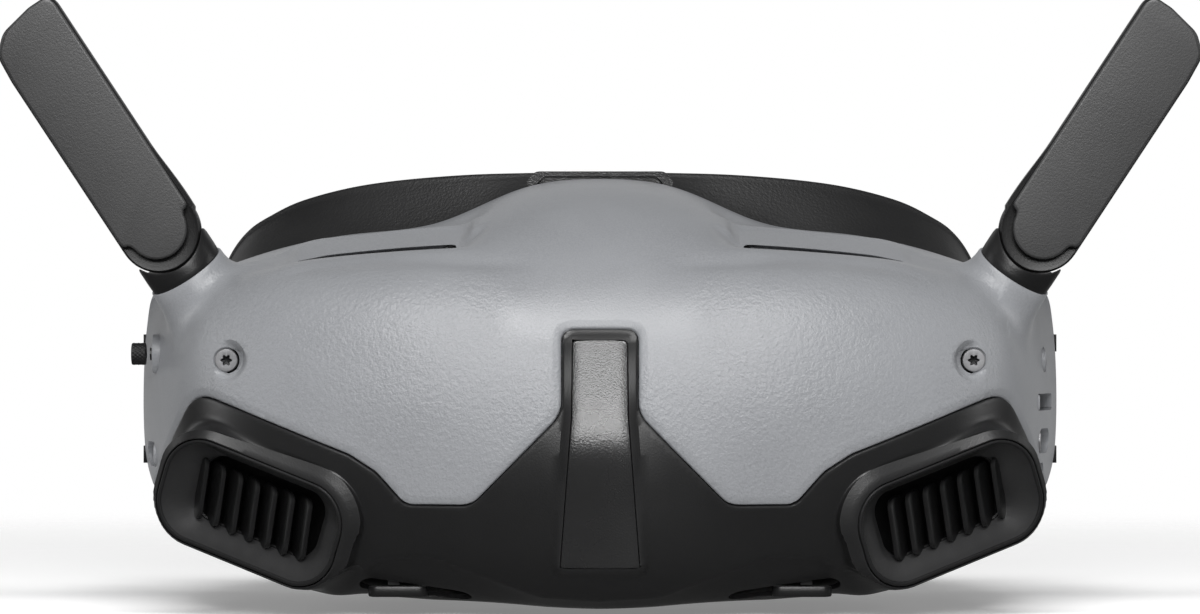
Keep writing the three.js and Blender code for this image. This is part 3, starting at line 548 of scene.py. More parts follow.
def crisp(mesh, angle):
    """Smooth shading, with edges sharper than angle kept as edges."""
    bm = bmesh.new()
    bm.from_mesh(mesh)
    bmesh.ops.recalc_face_normals(bm, faces=bm.faces)
    for face in bm.faces:
        face.smooth = True
    for edge in bm.edges:
        edge.smooth = len(edge.link_faces) == 2 and edge.calc_face_angle(0) < math.radians(angle)
    bm.to_mesh(mesh)
    bm.free()


def bridge(a, b):
    """Faces between two loops of vertex numbers with the same length."""
    n = len(a)
    return [(a[i], a[(i + 1) % n], b[(i + 1) % n], b[i]) for i in range(n)]


class Solid:
    """Points and faces gathered until a closed solid is complete."""

    def __init__(self):
        self.points = []
        self.faces = []

    def add(self, points):
        start = len(self.points)
        self.points += [tuple(p) for p in points]
        return list(range(start, start + len(points)))

    def columns(self, rows):
        """Joins rows of vertex numbers one after another."""
        for a, b in zip(rows, rows[1:]):
            self.faces += bridge(a, b)


def shell_solid(sheet, raised, special):
    """A closed wall from a sheet: the outer layer with its relief, an inner layer, and the rims between them.
    special(points, normals) returns the rows of points that carry a rim from one layer to the other."""
    sheet.tidy()
    p, n = base(sheet.uv), base_normal(sheet.uv)
    made = Solid()
    for layer in (p + raised(sheet.uv, p, n), p - n * WALL):
        layer[:, 1] = np.minimum(layer[:, 1], REAR_Y)
        made.add(layer)
    outer = np.array(made.points[:len(p)])
    count = len(p)
    made.faces += sheet.tri.tolist() + (sheet.tri[:, ::-1] + count).tolist()
    for loop in sheet.loops():
        chain = [loop] + [made.add(r) for r in special(outer[loop], n[loop])] + [[k + count for k in loop]]
        for a, b in zip(chain, chain[1:]):
            made.faces += [f[::-1] for f in bridge(a, b)]
    return made


def arc_between(start, first, last, end, steps):
    """Rows of points on the curves from start to end with two handles each, without the ends."""
    rows = []
    for t in np.linspace(0, 1, steps + 1)[1:-1]:
        middle = 3 * t * (1 - t) ** 2 * first + 3 * t * t * (1 - t) * last
        rows.append((1 - t) ** 3 * start + middle + t**3 * end)
    return rows


def boss_rows(side):
    """Rows of a trumpet from the shell to the collar's seat, and down its socket."""
    axis = antenna_axis(side)
    top = KNUCKLE * (side, 1, 1) + axis * COLLAR_FOOT

    def rows(outer, normals):
        off = outer - top
        flat = off - (off @ axis)[:, None] * axis
        way = flat / np.linalg.norm(flat, axis=1)[:, None]
        seat = axis * (COLLAR_LEAN * COLLAR_R * way[:, 1])[:, None]
        ring = top + way * 7.0 + seat
        inward = -way + (normals * way).sum(1)[:, None] * normals
        inward /= np.linalg.norm(inward, axis=1)[:, None]
        reach = np.linalg.norm(ring - outer, axis=1)[:, None]
        out = arc_between(outer, outer + inward * reach * 0.45, ring - axis * reach * 0.5, ring, 12) + [ring]
        for apart, up in ((6.93, 0.14), (6.75, 0.2), (6.5, 0.1), (6.3, -0.1), (5.1, -0.12), (4.9, -0.3)):
            out.append(top + seat + way * apart + axis * up)
        out.append(top + way * 4.9 - axis * 6)
        return out
    return rows


def pod_rows(side):
    """Rows of an intake's body from the shell to the rim round the bezel."""
    rim = intake_outline(INTAKE_OUTLINE, side)

    def rows(outer, normals):
        q = to_intake(outer, side)
        d, way = signed(q[:, [0, 2]], rim)
        foot = q[:, [0, 2]] - way * d[:, None]
        inner_end = smooth(foot[:, 0] * -side, -16, 14)
        top = smooth(way[:, 1], -0.75, 0.4)
        width = 0.35 + (0.95 + 1.5 * inner_end) * top
        fall = 0.5 + 0.6 * top

        def at(apart, depth):
            spot = foot + way * np.broadcast_to(apart, len(foot))[:, None]
            return from_intake(at_depth(spot, depth), side)
        crease = at(width, RIM_FRONT + fall)
        sleeve = np.c_[way[:, 0] * 0.35, np.ones(len(way)), way[:, 1] * 0.35] @ intake_axes(side).T
        sleeve /= np.linalg.norm(sleeve, axis=1)[:, None]
        away = crease - outer
        inward = away - (away * normals).sum(1)[:, None] * normals
        inward /= np.maximum(np.linalg.norm(inward, axis=1), 1e-6)[:, None]
        reach = np.linalg.norm(away, axis=1)[:, None]
        out = arc_between(outer, outer + inward * reach * 0.42, crease + sleeve * reach * 0.25, crease, 8)
        for share, lift in ((0.0, 0.0), (0.12, 0.0), (0.5, 0.0), (0.88, 0.0), (1.0, 0.12)):
            out.append(at(width * (1 - share) + 0.12, RIM_FRONT + fall * (1 - share) + lift))
        out += [at(0.02, RIM_FRONT + 0.4), at(0.02, 6.0)]
        return out
    return rows


def near(points, centre, radius):
    return np.linalg.norm(points.mean(0) - centre) < radius


# ---------- front shell ----------
def crease_depth(p):
    """The soft crease under the brim, which fades out at both ends."""
    along_x = smooth(np.abs(p[:, 0]), 9, 20) * (1 - smooth(np.abs(p[:, 0]), 56, 66))
    line = 59.3 + 0.35 * np.cos((np.abs(p[:, 0]) - 36) / 14)
    return np.where(p[:, 1] < -8, 1, 0) * 0.55 * along_x * np.exp(-(((p[:, 2] - line) / 1.15) ** 2))


def vent_relief(p):
    """How far the surface moves up at each exhaust: down to the lip before the slit, up a sunken ramp behind
    it to the brim's edge, and back to nothing over the brim."""
    x, y, z = np.abs(p[:, 0]), p[:, 1], p[:, 2]
    d, _ = signed(np.c_[x, y], VENT)
    ends = smooth(x, 18, 25) * (1 - smooth(x, 47, 58))
    out = 48.3 - x
    lip = 60.6 + 0.05 * out
    foot = 60.95 + 0.078 * out
    edge = 63.82 + 0.1 * out
    ramp = foot + (edge - foot) * (y + 20.2) / 11.7
    plateau = edge + 0.06 * (y + 8.5)
    reach = 3.2 * smooth(40 - x, 0, 16)
    before = (lip - z) * smooth(y + reach, -31.5, -25.2) * ends
    sunk = smooth(-d, 0, 2.6)
    after = (plateau - z) * (1 - smooth(y, -8.5, 5)) * ends * smooth(y, -14, -8.6)
    behind = (ramp - z) * sunk + after * (1 - sunk)
    behind = np.where(y < -8.5, behind, after)
    return before + (behind - before) * smooth(y, -23.2, -20.4)


def slit_rows(outer):
    """The rear edge of a slit is thin and undercut, so that it looks dark from the front."""
    rear = smooth(outer[:, 1], -22.2, -21.4)[:, None]
    steps = ((0, 0.12), (1.5, 0.35), (1.6, 0.9))
    return [outer + rear * (0, back, 0) - (0, 0, drop) for back, drop in steps]


def grey_relief(uv, p, n):
    d = np.maximum(seam_field(uv) - GAP, 0)
    rise = 0.5 * bump(np.hypot(np.abs(p[:, 0]) - 30, (p[:, 2] - 54) * 1.6), 22) * (p[:, 1] < -8)
    rise -= crease_depth(p)
    rise -= EDGE_DROP * np.clip(1 - d / EDGE_WIDTH, 0, 1)
    rise -= EDGE_ROUND * np.clip(1 - d / EDGE_ROUND, 0, 1) ** 2
    out = n * rise[:, None]
    out[:, 2] += np.where(p[:, 2] > 50, vent_relief(p), 0)
    r = np.hypot(np.abs(p[:, 0]) - SCREW[0] + 0.2, p[:, 2] - SCREW[1] - 0.12)
    floor = np.maximum(SCREW_SEAT - p[:, 1], 0) * (1 - smooth(r, 2.35, 3.6)) * (p[:, 1] < 0)
    out[:, 1] += floor
    return out


def grey_shell():
    sheet = Sheet(SHELL_US, SHELL_VS)
    sheet.cut(seam_field, GAP)
    for step in (EDGE_ROUND / 2, EDGE_ROUND, EDGE_WIDTH - 0.12, EDGE_WIDTH + 0.12):
        sheet.split(seam_field, GAP + step)
    for side in SIDES:
        for depth in (0, -0.8, -1.7, -2.6):
            sheet.split(vent_field(side), depth)
        for ring in (0.1, 0.5, 0.9, 1.35):
            sheet.split(screw_field(side), ring)
        for field in (boss_field(side), screw_field(side), slit_field(side)):
            sheet.cut(field)
    for field in side_fields():
        sheet.cut(field)
    bosses = [KNUCKLE * (side, 1, 1) + antenna_axis(side) * -16 for side in SIDES]

    def rims(outer, normals):
        for side, place in zip(SIDES, bosses):
            if near(outer, place, 9) and len(outer) > 40:
                return boss_rows(side)(outer, normals)
        for side in SIDES:
            if near(outer, (side * 37.7, -21.8, 62), 6):
                return slit_rows(outer)
        return []

    made = shell_solid(sheet, grey_relief, rims)
    shell = mesh_piece(made, "front_shell_moulding", "grey_shell", "front_shell")
    pebble_mask(shell)
    return shell


def pebble_mask(piece):
    """How coarse the grain is at each point: full on the domes, none on the brim, middle band and sides."""
    p = in_mm(points_of(piece))
    x, z = np.abs(p[:, 0]), p[:, 2]
    band = (1 - smooth(x, 12, 19)) * smooth(z, 40, 48)
    value = (1 - smooth(z, 57.5, 60)) * (1 - band) * (1 - smooth(x, 64, 70)) * (p[:, 1] < -15)
    layer = piece.data.attributes.new("grain", "FLOAT", "POINT")
    layer.data.foreach_set("value", value.astype(np.float32))


def crest_kink(p):
    """How far the surface turns in under the black cover's swept crest."""
    x = np.abs(p[:, 0])
    crest = np.interp(x, [0, 9.9, 19.8, 28, 36.3, 44], [3.4, 4.1, 7.9, 11, 10.6, 6])
    s = np.maximum(crest - p[:, 2], 0)
    return 1.3 * (s / 5) * np.exp(1 - s / 5) * (p[:, 1] < -12) * (1 - smooth(x, 38, 46))


def strip_face(z):
    """The y of the nose strip's face, which leans back above its bend and turns under below it."""
    upper = -53.1 + 0.314 * (z - 29.6)
    lower = -53.1 + 0.14 * (29.6 - z)
    return np.maximum(upper, lower) + STRIP_SOFT * np.log1p(np.exp(-np.abs(upper - lower) / STRIP_SOFT))


def black_relief(uv, p, n):
    d = np.maximum(-seam_field(uv) - GAP, 0)
    edge = COVER_EDGE * (1 - np.sqrt(np.clip(1 - (1 - np.minimum(d / COVER_EDGE, 1)) ** 2, 0, 1)))
    out = n * -(edge + crest_kink(p))[:, None]
    rise = np.clip(1 - strip_field(uv) / STRIP_BEVEL, 0, 1)
    out[:, 1] += rise * np.minimum(strip_face(p[:, 2]) - p[:, 1], 0)
    return out


def black_cover():
    sheet = Sheet(SHELL_US, SHELL_VS)

    def cover(uv):
        return -seam_field(uv)
    sheet.cut(cover, GAP)
    for step in (0.1, 0.3):
        sheet.split(cover, GAP + step)
    for side in SIDES:
        sheet.cut(pod_field(side))
        sheet.cut(knob_field(side))
    for field in side_fields() + [notch_field]:
        sheet.cut(field)
    sheet.split(strip_field, STRIP_BEVEL)
    sheet.cut(strip_field)

    def rims(outer, normals):
        for side in SIDES:
            if near(outer, INTAKE_CENTRE * (side, 1, 1), 12) and len(outer) > 60:
                return pod_rows(side)(outer, normals)
        return []

    made = shell_solid(sheet, black_relief, rims)
    return mesh_piece(made, "lower_cover_moulding", "black_shell", "lower_front_cover")


# ---------- pieces from stacked outlines ----------
def ring_solid(rings, place=lambda p: p):
    """A closed tube whose section runs round through rings of equal length."""
    made = Solid()
    rows = [made.add(place(np.asarray(r, float))) for r in rings]
    made.columns(rows + rows[:1])
    return made


def stacked(rings, place=lambda p: p):
    """A solid through rings of equal length; the first and the last are closed with a face each."""
    made = Solid()
    rows = [made.add(place(np.asarray(r, float))) for r in rings]
    made.columns(rows)
    made.faces += [tuple(rows[0][::-1]), tuple(rows[-1])]
    return made


def turned(rings, angles, centre, axis):
    """A solid of circles round an axis; centre has the two other coordinates, a ring is (radius, place)."""
    def circle(r, place):
        across = [centre[0] + r * np.cos(angles), centre[1] + r * np.sin(angles)]
        across.insert(axis, np.full(len(angles), place))
        return np.stack(across, -1)
    return stacked([circle(r, place) for r, place in rings])


def round_angles(n):
    return np.linspace(0, 2 * np.pi, n, endpoint=False)


def at_depth(loop, depth):
    """A front-view loop as points whose middle coordinate is the depth."""
    loop = np.asarray(loop, float)
    return np.c_[loop[:, 0], np.broadcast_to(depth, len(loop)), loop[:, 1]]


def nose_strip():
    """A plate between the cover's creases, with a rounded edge; its face is woven from side to side."""
    loop = grown(STRIP[::-1], -0.07)[::-1]
    right = loop[loop[:, 0] > 1e-6]
    right = np.concatenate([[[0, right[0, 1]]], right, [[0, right[-1, 1]]]])
    step = np.concatenate([[0], np.cumsum(np.linalg.norm(np.diff(right, axis=0), axis=1))])
    t = np.linspace(0, step[-1], 121)
    right = np.c_[np.interp(t, step, right[:, 0]), np.interp(t, step, right[:, 1])]
    loop = np.concatenate([right, right[-2:0:-1] * (-1, 1)])
    made = Solid()
    rows = []
    for shrink, back in ((1, 3.0), (1, 0.4), (0.995, 0.2), (0.98, 0.06), (0.955, 0.0), (0.6, 0.0), (0.2, 0.0)):
        z = 27.9 + (loop[:, 1] - 27.9) * (1 - (1 - shrink) * 0.22 * (shrink > 0.9))
        rows.append(made.add(np.c_[loop[:, 0] * shrink, strip_face(z) + back, z]))
    made.columns(rows)
    n = len(loop)
    made.faces.append(tuple(rows[0][::-1]))
    face = rows[-1]
    made.faces += [(face[0], face[1], face[-1]), (face[n // 2], face[n // 2 + 1], face[n // 2 - 1])]
    made.faces += [(face[k], face[k + 1], face[-k - 1], face[-k]) for k in range(1, n // 2 - 1)]
    return mesh_piece(made, "nose_strip_moulding", "black_face", "nose_strip")


def intake_bezel(side):
    """The rim and the funnel that leads to the fins."""
    outer = grown(INTAKE_OUTLINE, -0.12)
    mouth, throat = INTAKE_MOUTH, grown(THROAT_SHOWN, 0.25)
    lip, end = 0.28, 3.9 - RIM_FRONT
    profile = [(outer, end), (outer, 0.2), (grown(outer, -0.08), 0.06), (grown(outer, -0.22), 0)]
    profile += [(grown(mouth, 0.3), 0), (grown(mouth, 0.1), 0.07), (mouth, lip)]
    for t in (0.12, 0.3, 0.5, 0.7, 0.86, 0.95, 1):
        profile.append((mouth + (throat - mouth) * (t**1.25), lip + (end - lip) * t))
    rings = [at_depth(intake_outline(loop, side), RIM_FRONT + depth) for loop, depth in profile]
    made = ring_solid(rings, lambda p: from_intake(p, side))
    name = NAME[side]
    rim = mesh_piece(made, f"intake_rim_{name}", "black_frame", f"intake_bezel_{name}")
    second_material(rim, "black_satin", lambda p: to_intake(p[None], side)[0, 1] < RIM_FRONT + lip - 0.02)


def second_material(piece, name, test):
    """Gives another material to the faces whose centre passes the test."""
    piece.data.materials.append(MATERIALS[name])
    for face in piece.data.polygons:
        face.material_index = int(test(in_mm(face.center)))


FINS = 7
# A blade's rounded thickness: how far across, and how much smaller its outline is there.
BLADE_LEVELS = ((-0.5, 0.4), (-0.42, 0.15), (-0.25, 0.0), (0.25, 0.0), (0.42, 0.15), (0.5, 0.4))


def intake_fins(side):
    """Seven rounded blades and the frame at the bottom of the duct."""
    outer = intake_outline(grown(INTAKE_OUTLINE, -0.35), side)
    throat = intake_outline(THROAT_SHOWN, side)
    pan = [(throat, 8.4), (throat, 4.5), (grown(throat, 0.2), 4.3), (outer, 4.3), (outer, 8.9)]
    made = stacked([at_depth(loop, depth) for loop, depth in pan])
    blade = round_rect(0, 5.4, -5.6, 5.2, 1.7, steps=6, sides=5)
    for k in range(FINS):
        a = (-10.9 + k * 19.9 / (FINS - 1)) * -side
        rings = []
        for across, shrink in BLADE_LEVELS:
            rings.append(np.c_[np.full(len(blade), across), grown(blade, -shrink)])
        lean = turn("y", side * 0.14) @ turn("z", -side * 0.8)
        part = stacked(rings, lambda p, a=a, lean=lean: p @ lean.T + (a, 2.3, -1.1 + 0.35 * (k / 3 - 1) ** 2))
        start = len(made.points)
        made.points += part.points
        made.faces += [tuple(i + start for i in f) for f in part.faces]
    made.points = [tuple(p) for p in from_intake(np.array(made.points), side)]
    name = NAME[side]
    return mesh_piece(made, f"intake_fins_{name}", "black_satin", f"intake_grille_{name}")


def shell_screw(side):
    """A flat head with a soft edge and a six-lobed socket; the socket's inside is painted near black, as shade
    in the recess.
    """
    name = NAME[side]
    low, high = node_box(f"shell_screw_{name}")
    x, z = (low[0] + high[0]) / 2, (low[2] + high[2]) / 2
    front = low[1]
    angles = round_angles(72)
    star = 0.80 + 0.17 * np.cos(6 * angles)
    rings = [(1.0, 7.0), (1.0, 1.25), (1.9, 1.2), (1.95, 1.12), (1.95, 0.22), (1.9, 0.08), (1.78, 0.0)]
    rings += [(1.4, -0.02), (star + 0.06, 0.0), (star, 0.06), (star * 0.97, 0.75), (star * 0.4, 0.9)]
    made = turned([(r, front + y) for r, y in rings], angles, (x, z), 1)
    screw = mesh_piece(made, f"screw_{name}", "steel", f"shell_screw_{name}")

    def in_socket(p):
        return p[1] > front + 0.03 and math.hypot(p[0] - x, p[2] - z) < 0.97
    # The socket's faces take a near-black finish: painted shade inside the recess.
    second_material(screw, "dark_steel_and_socket_shade", in_socket)


# ---------- antennas ----------
def antenna_place(side):
    tilt = turn("y", side * ANTENNA_TILT)

    def place(points):
        return points @ tilt.T + KNUCKLE * (side, 1, 1)
    return place


PADDLE_HALF = 7.0
PADDLE_LENGTH = 44.0
CUP_R = 7.35


def paddle_outline(side, margin, foot_r, shoulder, steps=26):
    """The paddle's own front view, counter-clockwise, with a slanted round tip, higher on the nose side."""
    half = PADDLE_HALF - margin
    top = PADDLE_LENGTH - margin
    tip = [[half, shoulder + 0.9, 0.6], [half, top + 0.1, 4.2], [half - 4.6, top + 0.1, 5]]
    tip += [[-half + 3.4, top - 1.1, 4], [-half + 0.4, top - 3.8, 3.4], [-half, top - 9, 5]]
    tip.append([-half, shoulder + 0.9, 0.6])
    upper = rounded(tip, steps=12)
    if foot_r < half - 0.1:
        side_step = [[-half, shoulder + 0.9, 0], [-half + 0.25, shoulder + 0.15, 0.4]]
        side_step += [[-foot_r - 0.35, shoulder - 0.1, 0.5], [-foot_r, shoulder - 0.9, 0.6]]
        left = rounded(side_step, steps=5)
        a = np.linspace(np.pi + 0.12, 2 * np.pi - 0.12, steps)
        foot = np.c_[foot_r * np.cos(a), shoulder - 0.3 + foot_r * np.sin(a)]
        loop = np.concatenate([upper, left[1:], foot, (left * (-1, 1))[::-1][:-1]])
    else:
        a = np.linspace(np.pi, 2 * np.pi, steps)
        loop = np.concatenate([upper, np.c_[half * np.cos(a), shoulder + half * np.sin(a)]])
    if side > 0:
        loop = loop[::-1] * (-1, 1)
    return resampled(loop, 220)


def resampled(loop, count):
    """The closed loop at equal steps, keeping its direction."""
    closed = np.concatenate([loop, loop[:1]])
    length = np.concatenate([[0], np.cumsum(np.linalg.norm(np.diff(closed, axis=0), axis=1))])
    keep = np.concatenate([[True], np.diff(length) > 1e-6])
    t = np.linspace(0, length[-1], count, endpoint=False)
    return np.c_[np.interp(t, length[keep], closed[keep, 0]), np.interp(t, length[keep], closed[keep, 1])]


def antenna(side):
    name = NAME[side]
    body = f"antenna_{name}"
    place = antenna_place(side)
    outline = paddle_outline(side, 0, PADDLE_HALF, -0.1)
    # The body's back is flatter and its nose-side edge swells near the hinge.
    levels = [(0.9, -2.55), (0.35, -2.72), (0.12, -2.5), (0.0, -2.1), (0.0, 0.6), (0.25, 1.7), (0.8, 2.6)]
    rings = []
    for inset, depth in levels + [(1.6, 3.15), (2.6, 3.4)]:
        loop = grown(outline, -inset)
        swelling = 0.5 * bump(loop[:, 1] - 2.5, 11) * smooth(loop[:, 0] * -side, 3, 7)
        swelling *= 1 if depth > -2.4 else 0.4
        rings.append(ball_cut(at_depth(loop + np.c_[-side * swelling, np.zeros(len(loop))], depth)))
    made = stacked(rings, place)
    mesh_piece(made, f"antenna_blade_{name}", "black_satin", f"antenna_paddle_{name}", body)
    cover = paddle_outline(side, 0.35, 5.15, 0.7)
    front = -4.2
    levels = [(0.5, -2.75), (0.12, -2.8), (0.0, -2.9), (0.0, front + 0.35), (0.08, front + 0.12)]
    levels += [(0.25, front + 0.02), (0.45, front)]
    made = stacked([at_depth(grown(cover, -inset), depth) for inset, depth in levels], place)
    mesh_piece(made, f"antenna_face_{name}", "black_frame", f"antenna_cover_{name}", body)
    collar(side)


def ball_cut(ring):
    """Pulls the foot of the paddle in to a ball round the hinge, so that it turns in the collar's cup."""
    r = np.linalg.norm(ring * (1, ring[0, 1] > 0, 1), axis=1)
    below = ring[:, 2] < 0
    limit = CUP_R - 0.2
    scale = np.where(below & (r > limit), limit / r, 1)
    return ring * scale[:, None]


def collar(side):
    """A tube with a cup for the paddle's ball on top and a foot that drops towards the front."""
    name = NAME[side]
    place = antenna_place(side)
    n = 72
    angles = round_angles(n)
    cos, sin = np.cos(angles), np.sin(angles)
    front_share = smooth(-sin, -0.25, 0.35)
    rings = []

    def ring(r, z):
        rings.append(np.c_[r * cos, r * sin, np.broadcast_to(z, n)])
    foot = COLLAR_FOOT + COLLAR_LEAN * COLLAR_R * sin
    for r, up in ((4.5, -1.5), (4.5, 0.35), (6.2, 0.12), (6.55, 0.2), (6.66, 0.5)):
        ring(r, foot + up)
    rim = -np.sqrt(CUP_R**2 - (COLLAR_R * cos) ** 2) - 0.02
    top = rim * front_share + (-4.6) * (1 - front_share)
    for t in (0.35, 0.7, 0.95):
        ring(COLLAR_R, foot + 0.5 + (top - 0.25 - foot - 0.5) * t)
    ring(6.66, top - 0.12)
    ring(6.5, top)
    for r in (6.2, 5.2, 4.0, 2.6, 1.2):
        deep = -np.sqrt(CUP_R**2 - np.where(sin < 0, (r * cos) ** 2, r * r)) - 0.1
        ring(r, np.minimum(deep, top))
    made = stacked(rings, place)
    return mesh_piece(made, f"antenna_base_{name}", "black_satin", f"antenna_collar_{name}", sharp=40)


# ---------- face pad, its frame and the clip ----------
PAD_LOOP = [
    [0, 75.8], [13, 75.7], [24, 75.4], [36, 74.5], [45, 73.2], [53.5, 71], [59, 68.5], [63, 66], [66.2, 62.2],
    [68.5, 57], [70.5, 48], [71, 38], [70, 28], [66, 17], [58, 9], [46, 4.6], [34, 3.6], [25, 5.5], [19, 11],
    [14.5, 18], [10.5, 25], [6, 30.5], [0, 32.5],
]
FRAME_LOOP = [
    [0, 72.6], [12, 72], [22, 68], [33, 64], [42, 62], [51, 60.5], [58, 59], [63, 57.5], [66.6, 54.6],
    [69, 51], [69.4, 45], [69.4, 37], [69, 29], [65, 19], [56, 11.4], [44, 8], [33, 6.6], [24, 8], [18.6, 13],
    [14.5, 18.6], [10.5, 25], [6, 30.5], [0, 32.5],
]
PAD_CENTRE_Y = 28
PAD_CURVE = 0.0048
PAD_THICK = 12
PAD_STEPS = 10  # stations from one point of a pad loop to the next


def pad_back(x):
    return PAD_CENTRE_Y + PAD_CURVE * x * x


def smooth_loop(half, steps=PAD_STEPS):
    """A smooth closed loop through its right half's points and their mirror images, and the half's index."""
    pts = both_halves(half)
    index = np.concatenate([np.arange(len(half)), np.arange(len(half) - 2, 0, -1)])
    out, places = [], []
    n = len(pts)
    for i in range(n):
        p0, p1, p2, p3 = pts[i - 1], pts[i], pts[(i + 1) % n], pts[(i + 2) % n]
        for t in np.arange(steps) / steps:
            bent = (2 * p0 - 5 * p1 + 4 * p2 - p3) * t**2 + (3 * p1 - p0 - 3 * p2 + p3) * t**3
            out.append(0.5 * (2 * p1 + (p2 - p0) * t + bent))
            places.append(index[i] + (index[(i + 1) % n] - index[i]) * t)
    return np.array(out), np.array(places)


def inwards(loop):
    way = np.roll(loop, -1, axis=0) - np.roll(loop, 1, axis=0)
    for _ in range(6):
        way = (np.roll(way, 1, axis=0) + 2 * way + np.roll(way, -1, axis=0)) / 4
    way /= np.linalg.norm(way, axis=1)[:, None]
    return np.c_[way[:, 1], -way[:, 0]]


def pad_width(place):
    return np.interp(place, [15, 19], [8.5, 4.5])


def pad_frame():
    """The soft skirt between the housing and the pad: it flares back, with a piped edge along its rim."""
    rim, place = smooth_loop(PAD_LOOP)
    foot, _ = smooth_loop(FRAME_LOOP)
    way, foot_way = inwards(rim), inwards(foot)
    w = pad_width(place)[:, None]
    back = pad_back(rim[:, 0])[:, None] - PAD_THICK
    start = 10.6
    rows = []

    def row(xz, y):
        rows.append(np.c_[xz[:, 0], y, xz[:, 1]])
    for t in (0.0, 0.03, 0.2, 0.4, 0.6, 0.8, 0.93):
        ease = t**1.15
        xz = foot + (rim + way * 0.55 - foot) * ease
        row(xz, start + (back - 1.9 - start) * t)
    edge = [(0.45, -1.75), (0.12, -1.6), (-0.05, -1.1), (0.0, -0.5), (0.25, -0.08), (0.8, 0), (w - 0.4, 0)]
    for across, step in edge + [(w, -0.4), (w, -1.4), (w - 0.4, -1.8), (2.6, -1.8)]:
        row(rim + way * across, back + step)
    for t in (0.8, 0.55, 0.3, 0.1, 0.0):
        xz = foot + foot_way * 2.3 + (rim + way * 2.6 - foot - foot_way * 2.3) * t**1.15
        row(xz, start + (back - 2.4 - start) * t)
    made = ring_solid(rows)
    return mesh_piece(made, "pad_skirt", "pad_skirt", "face_pad_frame", sharp=50)


def foam_pad():
    """The foam ring: a slim section that Cloth inflates a little, with a sewn line round its outer edge."""
    rim, place = smooth_loop(PAD_LOOP)
    way = inwards(rim)
    w = pad_width(place)[:, None]
    back = pad_back(rim[:, 0])[:, None]
    front = back - PAD_THICK + 1.3
    rows = []
    section = [
        (0.08, 0.0), (0.03, 0.12), (0.02, 0.3), (0.03, 0.5), (0.05, 0.66), (0.1, 0.8), (0.19, 0.9),
        (0.32, 0.965), (0.48, 0.985), (0.64, 0.955), (0.78, 0.88), (0.88, 0.75), (0.94, 0.6), (0.965, 0.4),
        (0.96, 0.2),
        (0.92, 0.04), (0.8, 0.0), (0.5, 0.0), (0.25, 0.0),
    ]
    for across, up in section:
        xz = rim + way * (w * across)
        rows.append(np.c_[xz[:, 0], (front + (back - front) * up).reshape(-1), xz[:, 1]])
    made = ring_solid(rows)
    pad = mesh_piece(made, "foam_pad", "pad_foam", "face_pad", sharp=80)
    swell(pad, most=0.7)
    sewn_line(pad, rim, way)
    smooth_mod = pad.modifiers.new("fine", "SUBSURF")
    smooth_mod.levels = smooth_mod.render_levels = 1
    return pad


def swell(piece, most):
    """Inflates a closed piece with Cloth, then keeps every point within most millimetres of where it began."""
    start = points_of(piece)
    cloth = piece.modifiers.new("foam", "CLOTH")
    foam = dict(quality=6, mass=0.2, tension_stiffness=12, compression_stiffness=12, bending_stiffness=4)
    foam.update(use_pressure=True, uniform_pressure_force=4)
    for setting, value in foam.items():
        setattr(cloth.settings, setting, value)
    cloth.settings.effector_weights.gravity = 0
    scene = bpy.context.scene
    for step in range(1, 21):
        scene.frame_set(step)
    graph = bpy.context.evaluated_depsgraph_get()
    shaped = points_of(piece.evaluated_get(graph))
    piece.modifiers.remove(cloth)
    scene.frame_set(1)
    move = shaped - start
    length = np.linalg.norm(move, axis=1)[:, None]
    kept = start + move * np.minimum(1, most * MM / np.maximum(length, 1e-9))
    move_points(piece, kept)


def sewn_line(piece, rim, way):
    """Draws the cover in along a seam round the pad's outer side."""
    co = in_mm(points_of(piece))
    d, _ = nearest(co[:, [0, 2]], rim, closed=True)
    line = pad_back(co[:, 0]) - 4.2
    near_line = np.exp(-(((co[:, 1] - line) / 0.9) ** 2)) * (d < 2)
    k = np.array([np.argmin(((rim - c) ** 2).sum(1)) for c in co[:, [0, 2]]])
    co[:, [0, 2]] += way[k] * (0.35 * near_line)[:, None]
    move_points(piece, to_metres(co))


def forehead_clip():
    """A bar with a rounded outline and a sunken middle, in front of the pad's top edge."""
    def outline(half, low, high, r):
        left = [[-half + 1.2, high, r], [-half - 0.6, low, 0.6]]
        right = [[half + 0.6, low, 0.6], [half - 1.2, high, r]]
        loop = resampled(rounded(left + right, closed=True, steps=8)[::-1], 120)
        return np.roll(loop, -np.argmin(np.abs(loop - [0, high]).sum(1)), axis=0)
    outer, inner = outline(12.6, 73.4, 75.75, 1.6), outline(11.0, 73.2, 75.0, 1.2)
    rings = [at_depth(grown(outer, -0.1), 10.5), at_depth(outer, 10.4), at_depth(outer, 8.75)]
    rings += [at_depth(grown(outer, -0.12), 8.6), at_depth(inner, 8.6), at_depth(inner, 9.1)]
    rings.append(at_depth(inner * 0.98 + [0, 1.48], 9.2))
    made = stacked(rings)
    return mesh_piece(made, "clip_bar", "black_face", "forehead_clip")


# ---------- controls, eyepieces and everything that keeps its CAD shape ----------
def softened(node, name, width, finish, angle=25, segments=2, flat=35):
    """A copy of a CAD node with its edges rounded."""
    source = frame["nodes"][node]
    bm = bmesh.new()
    bm.from_mesh(source.data)
    bmesh.ops.remove_doubles(bm, verts=bm.verts, dist=2e-6)
    bmesh.ops.dissolve_limit(bm, angle_limit=math.radians(0.6), verts=bm.verts, edges=bm.edges)
    sharp = [e for e in bm.edges if len(e.link_faces) == 2 and e.calc_face_angle(0) > math.radians(angle)]
    rounding = dict(offset=width * MM, segments=segments, profile=0.6, affect="EDGES", clamp_overlap=True)
    bmesh.ops.bevel(bm, geom=sharp, **rounding)
    bmesh.ops.triangulate(bm, faces=[f for f in bm.faces if len(f.verts) > 4])
    mesh = bpy.data.meshes.new(name)
    bm.to_mesh(mesh)
    bm.free()
    return placed(mesh, name, finish, node, source["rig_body"], flat)


